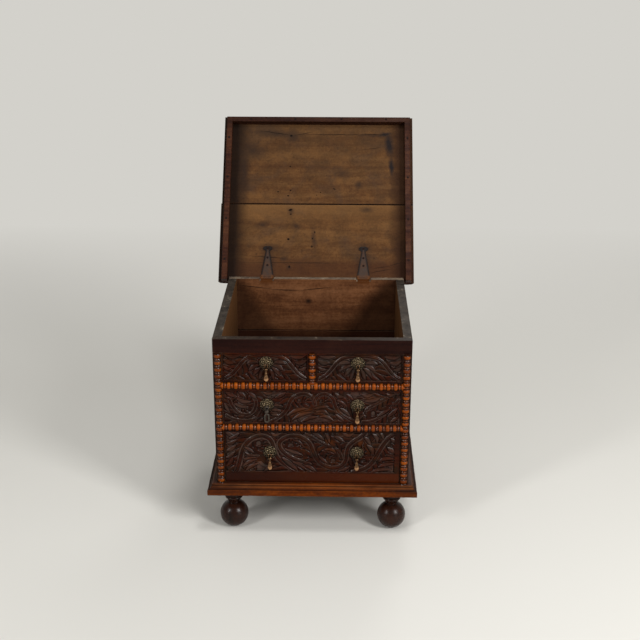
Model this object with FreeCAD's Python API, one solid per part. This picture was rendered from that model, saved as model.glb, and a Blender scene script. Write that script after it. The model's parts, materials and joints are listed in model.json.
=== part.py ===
import FreeCAD, Part
import math
import os

# Carved oak box on ball feet, with a hinged lid standing open, a deep compartment under it,
# two dummy rows of drawers and one real drawer. Millimetres, +Z up, +X to the viewer's right,
# +Y to the back. Everything is laid out from the carcass's front face at y = 0 and the floor
# at z = 0, then moved along Y so that the origin is the middle of the footprint at the floor.

V = FreeCAD.Vector

# Carcass boards
case_width = 450.0
case_depth = 425.0
side_thickness = 20.0
back_thickness = 16.0
front_thickness = 18.0
base_thickness = 20.0
side_joint_share = 0.5
side_joint_gap = 0.3
back_joint_gap = 3.0

# Rows of the front, from the rim down
top_rail_height = 33.0
top_row_height = 72.0
middle_row_height = 87.8
drawer_row_height = 135.9
back_upper_height = 140.0

# Split turnings: half-round strings of beads and reels
bead_width = 17.4
bead_pitch = 16.6
bead_length_share = 0.65
bead_end_share = 0.735
reel_length_share = 0.19
reel_radius_share = 0.84
groove_radius_share = 0.62
strip_side_margin = 0.2
upright_end_margin = 7.2
level_end_margin = 15.2
strip_point_depth = 5.0

# Compartment floor and its battens
floor_thickness = 10.0
batten_width = 12.0
batten_height = 12.0

# Plinth and ball feet
plinth_projection = 21.0
plinth_height = 26.5
foot_height = 116.5
foot_inset_x = 35.5
foot_inset_y = 38.0
ball_radius = 33.75
ball_flat_depth = 1.2
neck_radius = 14.0
neck_flare_radius = 25.0
neck_flare_height = 79.5
neck_bend_shares = (0.28, 0.6)
collar_radius = 27.0
collar_height = 6.5
collar_bulge_share = 0.25
block_radius = 24.0
tenon_radius = 11.0
tenon_length = 14.0
tenon_clearance = 0.05

# Drawer
drawer_side_clearance = 0.8
drawer_top_clearance = 1.2
drawer_bottom_clearance = 0.5
drawer_back_clearance = 6.0
drawer_board_thickness = 10.0
drawer_bottom_thickness = 7.0
drawer_bottom_rise = 6.0
drawer_groove_depth = 4.0
drawer_lap = 12.0
drawer_batten_clearance = 3.0
drawer_travel = 300.0

# Lid
lid_thickness = 18.0
lid_overhang = 28.0
lid_nosing = 7.5
lid_lip_thickness = 14.5
lid_lip_depth = 21.0
lid_lip_round = 3.0
lid_lip_round_share = 0.3
lid_front_board_share = 0.535
lid_joint_gap = 1.4
lid_rim_clearance = 0.5
lid_rear_board_proud = 2.0
lid_lean = 37.0
lid_stop_clearance = 0.4

# Strap hinges
hinge_left_share = -0.569
hinge_right_share = 0.542
knuckle_radius = 4.0
knuckle_clearance = 0.3
hinge_pin_radius = 1.75
hinge_pin_clearance = 0.05
strap_thickness = 2.0
strap_lift = 0.4
strap_length = 88.0
strap_width = 34.0
strap_knuckle_width = 14.0
leaf_length = 50.0
rim_notch_depth = 5.0
rim_notch_clearance = 1.5

# Drop pulls
pull_left_share = -0.507
pull_right_share = 0.505
drawer_pull_left_share = -0.481
top_pull_depth_share = 0.333
middle_pull_depth_share = 0.451
drawer_pull_depth_share = 0.411
plate_radius = 16.6
plate_boss_height = 3.0
pull_loop_reach = 8.3
pull_loop_radius = 4.0
pull_loop_wire_radius = 0.9
pull_shank_radius = 1.5
pull_shank_clearance = 0.3
pull_leg_length = 9.0
pull_leg_thickness = 2.0
drop_ring_radius = 3.4
drop_ring_wire_radius = 1.7
drop_seat_clearance = 0.3
drop_neck_overlap = 0.6
drop_length_share = 0.52
drop_bulb_radius = 6.5
iron_loop_wire_radius = 2.1
iron_loop_half_width = 4.4
iron_loop_straight = 11.0
iron_neck_radius = 5.4

# Nails and sprigs
nail_radius = 1.1
nail_head_radius = 2.8
nail_head_thickness = 0.8
nail_length = 30.0
short_nail_length = 14.0
nail_hole_clearance = 0.05
lip_nail_reach_share = 0.67

overrun = 5.0

# Outlines as shares of the sizes that they follow. A pair is a corner; a pair of pairs is an
# arc, given by the point it passes and the point where it ends.
plinth_profile_shares = [
    (0.94, 0.0), (1.0, 0.05), (1.0, 0.50), ((0.965, 0.573), (0.88, 0.60)), (0.66, 0.60), (0.66, 0.66),
    ((0.53, 0.72), (0.45, 0.85)), (0.49, 0.88), ((0.46, 0.97), (0.36, 1.0)), (0.0, 1.0),
]
nosing_profile_shares = [
    (0.12, 0.0), ((0.04, 0.05), (0.0, 0.18)), (0.0, 0.42), (0.10, 0.42), ((0.24, 0.80), (0.62, 0.92)),
    (0.70, 0.92), (0.70, 1.0),
]
strap_outline_shares = [
    (1.0, 0.0), (0.30, 0.84), (0.52, 0.875), (0.72, 0.90), (0.66, 0.965), (0.30, 1.0),
]
plate_profile_shares = [
    (1.0, 0.0), (1.0, 0.28), ((0.95, 0.62), (0.88, 0.34)), (0.50, 0.40), ((0.42, 0.92), (0.30, 1.0)),
]
drop_profile_shares = [
    (0.42, 0.0), ((0.68, 0.017), (0.78, 0.057)), ((0.80, 0.108), (0.68, 0.17)),
    ((0.47, 0.25), (0.42, 0.33)), ((0.56, 0.43), (0.76, 0.545)), ((0.99, 0.77), (0.80, 0.91)),
    ((0.58, 0.96), (0.28, 1.0)), (0.0, 1.0),
]
iron_neck_shares = [(0.80, 0.0), (1.0, 0.34), (0.72, 0.74), (0.30, 1.0), (0.0, 1.0)]
back_nail_shares = (0.18, 0.5, 0.82)
base_nail_shares = (0.16, 0.38, 0.62, 0.84)
batten_nail_shares = (0.12, 0.4, 0.6, 0.88)
strap_nail_shares = (0.40, 0.64, 0.93)
leaf_nail_shares = (0.42, 0.66, 0.90)
lip_nail_shares = (0.12, 0.37, 0.63, 0.88)
sprig_shares = (0.2, 0.5, 0.8)

# Levels and planes that several pieces share
half_width = case_width / 2
inner_half = half_width - side_thickness
bead_radius = bead_width / 2
bead_end_radius = bead_radius * bead_end_share
reel_radius = bead_radius * reel_radius_share
groove_radius = bead_radius * groove_radius_share
base_top = foot_height + base_thickness
rail_low_bottom = base_top + drawer_row_height
rail_low_top = rail_low_bottom + bead_width
rail_mid_bottom = rail_low_top + middle_row_height
rail_mid_top = rail_mid_bottom + bead_width
top_rail_bottom = rail_mid_top + top_row_height
rim = top_rail_bottom + top_rail_height
back_inner = case_depth - back_thickness
back_split = rim - back_upper_height
side_split = case_depth * side_joint_share
plinth_bottom = base_top - plinth_height
floor_bottom = rail_low_top - floor_thickness
batten_bottom = floor_bottom - batten_height
strip_inner = inner_half + strip_side_margin
strip_axis = strip_inner + bead_radius
hinge_left_x = half_width * hinge_left_share
hinge_right_x = half_width * hinge_right_share
pull_left_x = inner_half * pull_left_share
pull_right_x = inner_half * pull_right_share
drawer_pull_left_x = inner_half * drawer_pull_left_share
top_pull_z = top_rail_bottom - top_row_height * top_pull_depth_share
middle_pull_z = rail_mid_bottom - middle_row_height * middle_pull_depth_share
drawer_pull_z = rail_low_bottom - drawer_row_height * drawer_pull_depth_share
drop_length = top_row_height * drop_length_share

drawer_half = inner_half - drawer_side_clearance
drawer_inner = drawer_half - drawer_board_thickness
drawer_base = base_top + drawer_bottom_clearance
drawer_top = rail_low_bottom - drawer_top_clearance
drawer_side_top = batten_bottom - drawer_batten_clearance
drawer_rear = back_inner - drawer_back_clearance
drawer_bottom_under = drawer_base + drawer_bottom_rise
drawer_bottom_over = drawer_bottom_under + drawer_bottom_thickness

lid_under = rim + lid_rim_clearance
lid_over = lid_under + lid_thickness
lid_half = half_width + lid_overhang
lid_front = -lid_overhang
axis_y = case_depth + knuckle_clearance + knuckle_radius
axis_z = lid_under - strap_lift - knuckle_radius
lean = math.radians(lid_lean)
lid_reach = (
    axis_y - case_depth - strap_thickness - lid_stop_clearance + (lid_under - axis_z) * math.cos(lean)
) / math.sin(lean)
lid_rear = axis_y + lid_reach
lid_split = lid_front + (lid_rear - lid_front) * lid_front_board_share
lip_bottom = lid_under - lid_lip_depth
lid_turn = math.degrees(lean) + 90

pull_seat_drop = pull_loop_radius - pull_loop_wire_radius - drop_ring_wire_radius - drop_seat_clearance
drop_neck_top = drop_ring_radius + drop_ring_wire_radius - drop_neck_overlap
drop_neck_run = drop_length - drop_neck_top
iron_loop_height = iron_loop_straight + 2 * iron_loop_half_width + iron_loop_wire_radius
iron_neck_run = drop_neck_run - iron_loop_height


def block(x0, x1, y0, y1, z0, z1):
    """Board between two opposite corners."""
    return Part.makeBox(x1 - x0, y1 - y0, z1 - z0, V(x0, y0, z0))


def outline(start, steps, place):
    """Face inside a closed outline: a step is a corner, or a pair of points for an arc."""
    edges = []
    here = start
    for step in steps:
        if isinstance(step[0], tuple):
            edges.append(Part.Arc(place(here), place(step[0]), place(step[1])).toShape())
            here = step[1]
        else:
            edges.append(Part.LineSegment(place(here), place(step)).toShape())
            here = step
    edges.append(Part.LineSegment(place(here), place(start)).toShape())
    return Part.Face(Part.Wire(edges))


def prism(points, place, along):
    """Straight prism over a polygon."""
    return outline(points[0], points[1:], place).extrude(along)


def plan_prism(points, z0, z1):
    """Upright prism over an outline of (x, y) points."""
    return prism(points, lambda p: V(p[0], p[1], z0), V(0, 0, z1 - z0))


def front_prism(points, y0, y1):
    """Level prism, front to back, over an outline of (x, z) points."""
    return prism(points, lambda p: V(p[0], y0, p[1]), V(0, y1 - y0, 0))


def turned(face, centre):
    """Full turn of a face in the XZ plane about the upright line through a point."""
    solid = face.revolve(V(0, 0, 0), V(0, 0, 1), 360)
    solid.translate(centre)
    return solid


def mirrored(shape):
    """Copy of a shape on the other side of the plane x = 0."""
    return shape.mirror(V(0, 0, 0), V(1, 0, 0))


def nail(head, inward, length):
    """Cut nail: a flat round head on the surface and a shank in the wood."""
    shank = Part.makeCylinder(nail_radius, length, head, inward)
    cap = Part.makeCylinder(nail_head_radius, nail_head_thickness, head, inward * -1)
    return shank.fuse(cap).removeSplitter()


def sprig(head, inward, length):
    """Headless pin, flush with the surface."""
    return Part.makeCylinder(nail_radius, length, head, inward)


def pierced(board, nails):
    """Board with a pilot hole for each nail, given as (head, inward, length), that reaches it."""
    reach = nail_hole_clearance
    holes = [
        Part.makeCylinder(nail_radius + reach, length + reach, head, inward)
        for head, inward, length in nails
    ]
    holes = [hole for hole in holes if hole.BoundBox.intersect(board.BoundBox)]
    return board.cut(holes) if holes else board


# Places of the nails


def back_nails():
    """Nails through the back boards into the ends of the sides."""
    places = []
    spans = ((back_split, rim), (base_top, back_split - back_joint_gap))
    for low, high in spans:
        for share in back_nail_shares:
            for x in (side_thickness / 2 - half_width, half_width - side_thickness / 2):
                places.append((V(x, case_depth, low + share * (high - low)), V(0, -1, 0), nail_length))
    return places


def base_nails():
    """Nails up through the base board into the sides."""
    places = []
    for share in base_nail_shares:
        for x in (side_thickness / 2 - half_width, half_width - side_thickness / 2):
            head = V(x, share * back_inner, foot_height)
            places.append((head, V(0, 0, 1), nail_length + base_thickness / 2))
    return places


def batten_nails():
    """Nails through the battens into the sides."""
    places = []
    span = back_inner - front_thickness
    for share in batten_nail_shares:
        for side in (-1, 1):
            x = side * (inner_half - batten_width)
            head = V(x, front_thickness + share * span, floor_bottom - batten_height / 2)
            places.append((head, V(side, 0, 0), batten_width + side_thickness / 2))
    return places


def leaf_nails():
    """Nails through the fixed hinge leaves into the upper back board."""
    face = case_depth + strap_thickness
    return [
        (V(x, face, axis_z - share * leaf_length), V(0, -1, 0), short_nail_length)
        for x in (hinge_left_x, hinge_right_x)
        for share in leaf_nail_shares
    ]


def strap_nails():
    """Nails through the straps into the lid, in the closed pose."""
    face = lid_under - strap_thickness
    return [
        (V(x, axis_y - share * strap_length, face), V(0, 0, 1), short_nail_length)
        for x in (hinge_left_x, hinge_right_x)
        for share in strap_nail_shares
    ]


def lip_nails():
    """Nails through the lips into the lid, in the closed pose."""
    middle = lid_nosing + lid_lip_thickness / 2
    length = lid_lip_depth + lid_thickness * lip_nail_reach_share
    places = []
    for share in lip_nail_shares:
        x = (2 * share - 1) * (lid_half - middle)
        places.append((V(x, lid_front + middle, lip_bottom), V(0, 0, 1), length))
        y = lid_front + middle + share * (lid_rear - lid_front - middle)
        for side in (-1, 1):
            places.append((V(side * (lid_half - middle), y, lip_bottom), V(0, 0, 1), length))
    return places


def drawer_sprigs():
    """Flush sprigs through the drawer's sides into its front and back."""
    places = []
    for share in sprig_shares:
        z = drawer_bottom_over + share * (drawer_side_top - drawer_bottom_over)
        for side in (-1, 1):
            for y in (front_thickness - drawer_lap / 2, drawer_rear - drawer_board_thickness / 2):
                places.append((V(side * drawer_half, y, z), V(-side, 0, 0), drawer_board_thickness * 2))
    return places


def drawer_bottom_nails():
    """Nails up through the drawer's bottom into its back."""
    y = drawer_rear - drawer_board_thickness / 2
    length = drawer_bottom_thickness + drawer_board_thickness
    return [
        (V((2 * share - 1) * drawer_inner, y, drawer_bottom_under), V(0, 0, 1), length)
        for share in back_nail_shares
    ]


# Carcass


def base_board():
    """Base board under the carcass, bored for the feet."""
    board = block(-half_width, half_width, 0, case_depth, foot_height, base_top)
    holes = [
        Part.makeCylinder(
            tenon_radius + tenon_clearance, tenon_length + tenon_clearance, V(x, y, foot_height))
        for x, y in foot_places().values()
    ]
    return pierced(board.cut(holes), base_nails())


def side_board(side, front):
    """Front or rear board of one side; the front one is notched for the top rail."""
    if front:
        board = block(inner_half, half_width, 0, side_split - side_joint_gap / 2, base_top, rim)
        board = board.cut(block(
            inner_half - overrun, half_width + overrun, -overrun, front_thickness,
            top_rail_bottom, rim + overrun))
    else:
        board = block(inner_half, half_width, side_split + side_joint_gap / 2, back_inner, base_top, rim)
    if side < 0:
        board = mirrored(board)
    return pierced(board, back_nails() + base_nails() + batten_nails())


def back_upper_board():
    """Upper back board, notched at the rim for the two straps."""
    board = block(-half_width, half_width, back_inner, case_depth, back_split, rim)
    half = strap_width / 2 + rim_notch_clearance
    notches = [
        block(
            x - half, x + half, back_inner - overrun, case_depth + overrun,
            rim - rim_notch_depth, rim + overrun)
        for x in (hinge_left_x, hinge_right_x)
    ]
    return pierced(board.cut(notches), back_nails() + leaf_nails())


def back_lower_board():
    """Lower back board, under an open joint."""
    board = block(-half_width, half_width, back_inner, case_depth, base_top, back_split - back_joint_gap)
    return pierced(board, back_nails())


def front_top_rail():
    """Plain rail across the whole front at the rim."""
    return block(-half_width, half_width, 0, front_thickness, top_rail_bottom, rim)


def front_board(x0, x1, z0, z1, pulls):
    """Board of the front, bored for the shanks of its pulls at (x, z)."""
    board = block(x0, x1, 0, front_thickness, z0, z1)
    radius = pull_shank_radius + pull_shank_clearance
    holes = [
        Part.makeCylinder(radius, front_thickness + 2 * overrun, V(x, -overrun, z), V(0, 1, 0))
        for x, z in pulls
    ]
    return board.cut(holes) if holes else board


def compartment_floor():
    """Floor of the compartment, on the battens and against the lower rail."""
    return block(-inner_half, inner_half, front_thickness, back_inner, floor_bottom, rail_low_top)


def batten(side):
    """Batten under one end of the compartment floor."""
    bar = block(
        inner_half - batten_width, inner_half, front_thickness, back_inner, batten_bottom, floor_bottom)
    if side < 0:
        bar = mirrored(bar)
    return pierced(bar, batten_nails())


# Plinth and feet


def plinth_steps(sign, face):
    """Moulding outline as (distance out, height), its top level with the base board's."""
    def at(pair):
        return (face + sign * pair[0] * plinth_projection, plinth_bottom + pair[1] * plinth_height)
    steps = []
    for step in plinth_profile_shares:
        steps.append((at(step[0]), at(step[1])) if isinstance(step[0], tuple) else at(step))
    return at((0, 0)), steps


def plinth_front():
    """Front moulding, mitred at both ends."""
    start, steps = plinth_steps(-1, 0)
    length = case_width + 2 * plinth_projection
    bar = outline(start, steps, lambda p: V(-length / 2, p[0], p[1])).extrude(V(length, 0, 0))
    out = half_width + plinth_projection
    plan = [(-half_width, 0), (-out, -plinth_projection), (out, -plinth_projection), (half_width, 0)]
    return bar.common(plan_prism(plan, plinth_bottom - overrun, base_top + overrun))


def plinth_side(side):
    """Side moulding, mitred at the front and square at the back."""
    start, steps = plinth_steps(1, half_width)
    length = case_depth + plinth_projection
    bar = outline(start, steps, lambda p: V(p[0], -plinth_projection, p[1])).extrude(V(0, length, 0))
    out = half_width + plinth_projection
    plan = [(half_width, 0), (out, -plinth_projection), (out, case_depth), (half_width, case_depth)]
    bar = bar.common(plan_prism(plan, plinth_bottom - overrun, base_top + overrun))
    return mirrored(bar) if side < 0 else bar


def foot_places():
    """Centres of the four feet in plan."""
    x = half_width - foot_inset_x
    return {
        "foot_front_left": (-x, foot_inset_y),
        "foot_front_right": (x, foot_inset_y),
        "foot_rear_left": (-x, case_depth - foot_inset_y),
        "foot_rear_right": (x, case_depth - foot_inset_y),
    }


def foot(x, y):
    """Turned foot: a ball, a flared neck, a collar, a block and a tenon."""
    centre = ball_radius - ball_flat_depth
    flat = math.sqrt(ball_radius ** 2 - centre ** 2)
    neck_z = centre + math.sqrt(ball_radius ** 2 - neck_radius ** 2)
    bend_out, bend_up = neck_bend_shares
    bend = (
        neck_radius + (neck_flare_radius - neck_radius) * bend_out,
        neck_z + (neck_flare_height - neck_z) * bend_up,
    )
    collar_top = neck_flare_height + collar_height
    bulge = (collar_radius + collar_height * collar_bulge_share, neck_flare_height + collar_height / 2)
    steps = [
        (flat, 0), ((ball_radius, centre), (neck_radius, neck_z)),
        (bend, (neck_flare_radius, neck_flare_height)),
        (collar_radius, neck_flare_height), (bulge, (collar_radius, collar_top)), (block_radius, collar_top),
        (block_radius, foot_height), (tenon_radius, foot_height), (tenon_radius, foot_height + tenon_length),
        (0, foot_height + tenon_length),
    ]
    return turned(outline((0, 0), steps, lambda p: V(p[0], 0, p[1])), V(x, y, 0))


# Split turnings


def bead_string(length, end_margin):
    """Half-round string of beads and reels about the Z axis, on the side of -Y, its middle at z = 0.

    The end beads are centred an end margin from the ends, or half a pitch if there is no margin."""
    free = length - 2 * end_margin
    count = round(free / bead_pitch) + (1 if end_margin else 0)
    pitch = free / (count - 1 if end_margin else count)
    bead_half = pitch * bead_length_share / 2
    reel_half = pitch * reel_length_share / 2
    first = -(count - 1) * pitch / 2
    steps = [(groove_radius, -length / 2)]

    def reel(z):
        steps.append((groove_radius, z - reel_half))
        steps.append(((reel_radius, z), (groove_radius, z + reel_half)))

    if length / 2 + first > pitch / 2 + reel_half:
        reel(first - pitch / 2)
    for turn in range(count):
        z = first + turn * pitch
        if turn:
            reel(z - pitch / 2)
        steps.append((groove_radius, z - bead_half))
        steps.append((bead_end_radius, z - bead_half))
        steps.append(((bead_radius, z), (bead_end_radius, z + bead_half)))
        steps.append((groove_radius, z + bead_half))
    if length / 2 + first > pitch / 2 + reel_half:
        reel(pitch / 2 - first)
    steps += [(groove_radius, length / 2), (0, length / 2)]
    face = outline((0, -length / 2), steps, lambda p: V(p[0], 0, p[1]))
    return face.revolve(V(0, 0, 0), V(0, 0, -1), 180)


def level_string(z):
    """String of beads along X at a height, its middle at x = 0."""
    string = bead_string(2 * (strip_inner + strip_point_depth), strip_point_depth + level_end_margin)
    string.rotate(V(0, 0, 0), V(0, 1, 0), 90)
    string.translate(V(0, 0, z))
    return string


def level_outline(z):
    """Front outline of a level strip with pointed ends."""
    return [
        (-strip_inner, z - bead_radius), (strip_inner, z - bead_radius), (strip_inner + strip_point_depth, z),
        (strip_inner, z + bead_radius), (-strip_inner, z + bead_radius),
        (-strip_inner - strip_point_depth, z),
    ]


def muntin_outline():
    """Front outline of the strip on the muntin, pointed at its foot."""
    return [
        (-bead_radius, top_rail_bottom), (-bead_radius, rail_mid_top), (0, rail_mid_top - bead_radius),
        (bead_radius, rail_mid_top), (bead_radius, top_rail_bottom),
    ]


def front_region(points):
    """Space in front of the carcass inside a front outline."""
    return front_prism(points, -bead_radius - overrun, 0)


rail_levels = {"bead_strip_upper": rail_mid_top - bead_radius, "bead_strip_lower": rail_low_top - bead_radius}


def bead_strip_level(name):
    """Level strip, its pointed ends let into the upright ones."""
    strip = level_string(rail_levels[name]).common(front_region(level_outline(rail_levels[name])))
    if name == "bead_strip_upper":
        strip = strip.cut(front_region(muntin_outline()))
    return strip


def bead_strip_upright(side):
    """Upright strip on the front edge of one side."""
    length = top_rail_bottom - base_top
    strip = bead_string(length, upright_end_margin)
    strip.translate(V(side * strip_axis, 0, base_top + length / 2))
    return strip.cut([front_region(level_outline(z)) for z in rail_levels.values()])


def bead_strip_muntin():
    """Short upright strip between the two top panels."""
    length = top_row_height + bead_radius
    string = bead_string(length, 0)
    string.translate(V(0, 0, top_rail_bottom - length / 2))
    return string.common(front_region(muntin_outline()))


# Drawer


def drawer_front():
    """Drawer front, housed for the sides and grooved for the bottom."""
    board = front_board(-drawer_half, drawer_half, drawer_base, drawer_top, drawer_pulls)
    lap_front = front_thickness - drawer_lap
    for side in (-1, 1):
        x0, x1 = sorted((side * drawer_inner, side * (drawer_half + overrun)))
        board = board.cut(block(
            x0, x1, lap_front, front_thickness + overrun, drawer_base - overrun, drawer_side_top))
    groove = block(
        -drawer_half - overrun, drawer_half + overrun, front_thickness - drawer_groove_depth,
        front_thickness + overrun, drawer_bottom_under, drawer_bottom_over)
    return pierced(board.cut(groove), drawer_sprigs())


def drawer_side(side):
    """Drawer side, grooved for the bottom, running on the base board."""
    board = block(
        drawer_inner, drawer_half, front_thickness - drawer_lap, drawer_rear, drawer_base, drawer_side_top)
    groove = block(
        drawer_inner - overrun, drawer_inner + drawer_groove_depth, -overrun, drawer_rear + overrun,
        drawer_bottom_under, drawer_bottom_over)
    board = board.cut(groove)
    if side < 0:
        board = mirrored(board)
    return pierced(board, drawer_sprigs())


def drawer_back():
    """Drawer back, standing on the bottom between the sides."""
    board = block(
        -drawer_inner, drawer_inner, drawer_rear - drawer_board_thickness, drawer_rear, drawer_bottom_over,
        drawer_side_top)
    return pierced(board, drawer_sprigs() + drawer_bottom_nails())


def drawer_bottom():
    """Drawer bottom, slid into the grooves from the back."""
    half = drawer_inner + drawer_groove_depth
    board = block(
        -half, half, front_thickness - drawer_groove_depth, drawer_rear,
        drawer_bottom_under, drawer_bottom_over)
    return pierced(board, drawer_bottom_nails())


# Lid, laid out closed and then swung open


def opened(shape):
    """Copy of a lid piece swung back from closed to its stop."""
    turned_shape = shape.copy()
    turned_shape.rotate(V(0, axis_y, axis_z), V(1, 0, 0), -lid_turn)
    return turned_shape


def nosing_steps(edge, inward):
    """Moulded edge from the underside to the top, as (place across the edge, height)."""
    def at(pair):
        return (edge + inward * pair[0] * lid_thickness, lid_under + pair[1] * lid_thickness)
    return [
        (at(step[0]), at(step[1])) if isinstance(step[0], tuple) else at(step)
        for step in nosing_profile_shares
    ]


def lid_slab(left_half, right_half):
    """Lid slab with the moulding worked along its front and both ends."""
    front = nosing_steps(lid_front, 1)
    left = nosing_steps(-left_half, 1)
    right = nosing_steps(right_half, -1)
    along_x = outline(
        front[0], front[1:] + [(lid_rear, lid_over), (lid_rear, lid_under)],
        lambda p: V(-left_half, p[0], p[1])).extrude(V(left_half + right_half, 0, 0))
    along_y = outline(
        left[0], left[1:] + reversed_steps(right),
        lambda p: V(p[0], lid_front - overrun, p[1])).extrude(V(0, lid_rear - lid_front + 2 * overrun, 0))
    return along_x.common(along_y)


def reversed_steps(steps):
    """The same open outline walked the other way; its first step is its first corner."""
    corners = [step[1] if isinstance(step[0], tuple) else step for step in steps]
    back = [corners[-1]]
    for index in range(len(steps) - 1, 0, -1):
        step = steps[index]
        back.append((step[0], corners[index - 1]) if isinstance(step[0], tuple) else corners[index - 1])
    return back


def lid_board(front):
    """Front or rear board of the lid, either side of the open joint."""
    proud = 0 if front else lid_rear_board_proud
    slab = lid_slab(lid_half + proud, lid_half)
    wide = lid_half + overrun
    if front:
        space = block(-wide, wide, lid_front - overrun, lid_split - lid_joint_gap / 2, lid_under, lid_over)
    else:
        space = block(-wide, wide, lid_split + lid_joint_gap / 2, lid_rear, lid_under, lid_over)
    return opened(pierced(slab.common(space), lip_nails() + strap_nails()))


def lip_steps(place):
    """Section of a lip: square but for its round outer lower edge; place maps (out, height)."""
    out = lid_lip_thickness
    bend = lid_lip_round * lid_lip_round_share
    return [
        place((0, lid_under)), place((0, lip_bottom)), place((out - lid_lip_round, lip_bottom)),
        (place((out - bend, lip_bottom + bend)), place((out, lip_bottom + lid_lip_round))),
        place((out, lid_under)),
    ]


def lid_lip_front():
    """Front lip under the lid, mitred at both ends."""
    inside = lid_half - lid_nosing - lid_lip_thickness
    face = lid_front + lid_nosing + lid_lip_thickness
    outside = inside + lid_lip_thickness
    steps = lip_steps(lambda p: (face - p[0], p[1]))
    bar = outline(steps[0], steps[1:], lambda p: V(-outside, p[0], p[1])).extrude(V(2 * outside, 0, 0))
    front = face - lid_lip_thickness
    plan = [(-inside, face), (-outside, front), (outside, front), (inside, face)]
    bar = bar.common(plan_prism(plan, lip_bottom - overrun, lid_under + overrun))
    return opened(pierced(bar, lip_nails()))


def lid_lip_side(side):
    """Side lip under the lid, mitred at the front and square at the back."""
    inside = lid_half - lid_nosing - lid_lip_thickness
    face = lid_front + lid_nosing + lid_lip_thickness
    front = face - lid_lip_thickness
    outside = inside + lid_lip_thickness
    steps = lip_steps(lambda p: (inside + p[0], p[1]))
    bar = outline(steps[0], steps[1:], lambda p: V(p[0], front, p[1])).extrude(V(0, lid_rear - front, 0))
    plan = [(inside, face), (outside, front), (outside, lid_rear), (inside, lid_rear)]
    bar = bar.common(plan_prism(plan, lip_bottom - overrun, lid_under + overrun))
    if side < 0:
        bar = mirrored(bar)
    return opened(pierced(bar, lip_nails()))


# Strap hinges


def knuckle(x0, x1):
    """Rolled knuckle between two places along the pin, bored with the pin's running clearance."""
    ring = Part.makeCylinder(knuckle_radius, x1 - x0, V(x0, axis_y, axis_z), V(1, 0, 0))
    bore = Part.makeCylinder(
        hinge_pin_radius + hinge_pin_clearance, x1 - x0 + 2 * overrun,
        V(x0 - overrun, axis_y, axis_z), V(1, 0, 0))
    return ring.cut(bore), bore


def hinge_strap(x):
    """Dart-shaped strap on the lid's underside with the middle knuckle."""
    half = strap_width / 2
    root = axis_y - knuckle_radius - knuckle_clearance
    dart_length = strap_length - (axis_y - root)
    right = [(x + w * half, root - share * dart_length) for w, share in strap_outline_shares]
    left = [(x - w * half, root - share * dart_length) for w, share in reversed(strap_outline_shares)]
    plate = plan_prism(right + left, lid_under - strap_thickness, lid_under)
    tongue_half = strap_knuckle_width / 2
    ring, bore = knuckle(x - tongue_half, x + tongue_half)
    tongue = block(
        x - tongue_half, x + tongue_half, root - overrun, axis_y, lid_under - strap_thickness, lid_under)
    strap = plate.fuse([tongue, ring]).cut(bore).removeSplitter()
    return opened(pierced(strap, strap_nails()))


def hinge_leaf(x):
    """Fixed leaf on the outside of the back, with the two outer knuckles."""
    half = strap_width / 2
    inner = strap_knuckle_width / 2 + knuckle_clearance
    top = axis_z - knuckle_radius - knuckle_clearance
    face = case_depth + strap_thickness
    leaf = block(x - half, x + half, case_depth, face, axis_z - leaf_length, top)
    bores = []
    pieces = []
    for x0, x1 in ((x - half, x - inner), (x + inner, x + half)):
        ring, bore = knuckle(x0, x1)
        pieces += [ring, block(x0, x1, case_depth, face, top - overrun, axis_z)]
        bores.append(bore)
    leaf = leaf.fuse(pieces).cut(bores).removeSplitter()
    return pierced(leaf, leaf_nails())


def hinge_pins():
    """Pins of the two hinges, flush with the outer knuckles."""
    return Part.makeCompound([
        Part.makeCylinder(hinge_pin_radius, strap_width, V(x - strap_width / 2, axis_y, axis_z), V(1, 0, 0))
        for x in (hinge_left_x, hinge_right_x)
    ])


# Drop pulls


def pull_plate(x, z):
    """Round pressed plate with a rolled rim and a raised boss."""
    hole = pull_shank_radius + pull_shank_clearance

    def at(pair):
        return (pair[0] * plate_radius, pair[1] * plate_boss_height)
    steps = [(at(s[0]), at(s[1])) if isinstance(s[0], tuple) else at(s) for s in plate_profile_shares]
    steps.append((hole, plate_boss_height))
    face = outline((hole, 0), steps, lambda p: V(p[0], -p[1], 0))
    plate = face.revolve(V(0, 0, 0), V(0, 1, 0), 360)
    plate.translate(V(x, 0, z))
    return plate


def pull_pin(x, z):
    """Split pin: a loop in front, a shank through the board and two legs clenched behind it."""
    loop = Part.makeTorus(pull_loop_radius, pull_loop_wire_radius, V(x, -pull_loop_reach, z), V(1, 0, 0))
    start = pull_loop_radius - pull_loop_reach
    back = front_thickness + pull_leg_thickness
    shank = Part.makeCylinder(pull_shank_radius, back - start, V(x, start, z), V(0, 1, 0))
    legs = block(
        x - pull_leg_length, x + pull_leg_length, front_thickness, back,
        z - pull_shank_radius, z + pull_shank_radius)
    return loop.fuse([shank, legs]).removeSplitter()


def drop_ring(x, z):
    """Ring of a drop, its top wire resting in the split pin's loop."""
    centre = V(x, -pull_loop_reach, z - pull_seat_drop - drop_ring_radius)
    return Part.makeTorus(drop_ring_radius, drop_ring_wire_radius, centre, V(0, 1, 0)), centre


def brass_drop(x, z):
    """Cast brass drop: a ring, a flared neck, a waist and a pear-shaped bulb."""
    ring, centre = drop_ring(x, z)

    def at(pair):
        return (pair[0] * drop_bulb_radius, -drop_neck_top - pair[1] * drop_neck_run)
    steps = [(at(s[0]), at(s[1])) if isinstance(s[0], tuple) else at(s) for s in drop_profile_shares]
    body = turned(outline((0, steps[0][1]), steps, lambda p: V(p[0], 0, p[1])), centre)
    return ring.fuse(body).removeSplitter()


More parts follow.
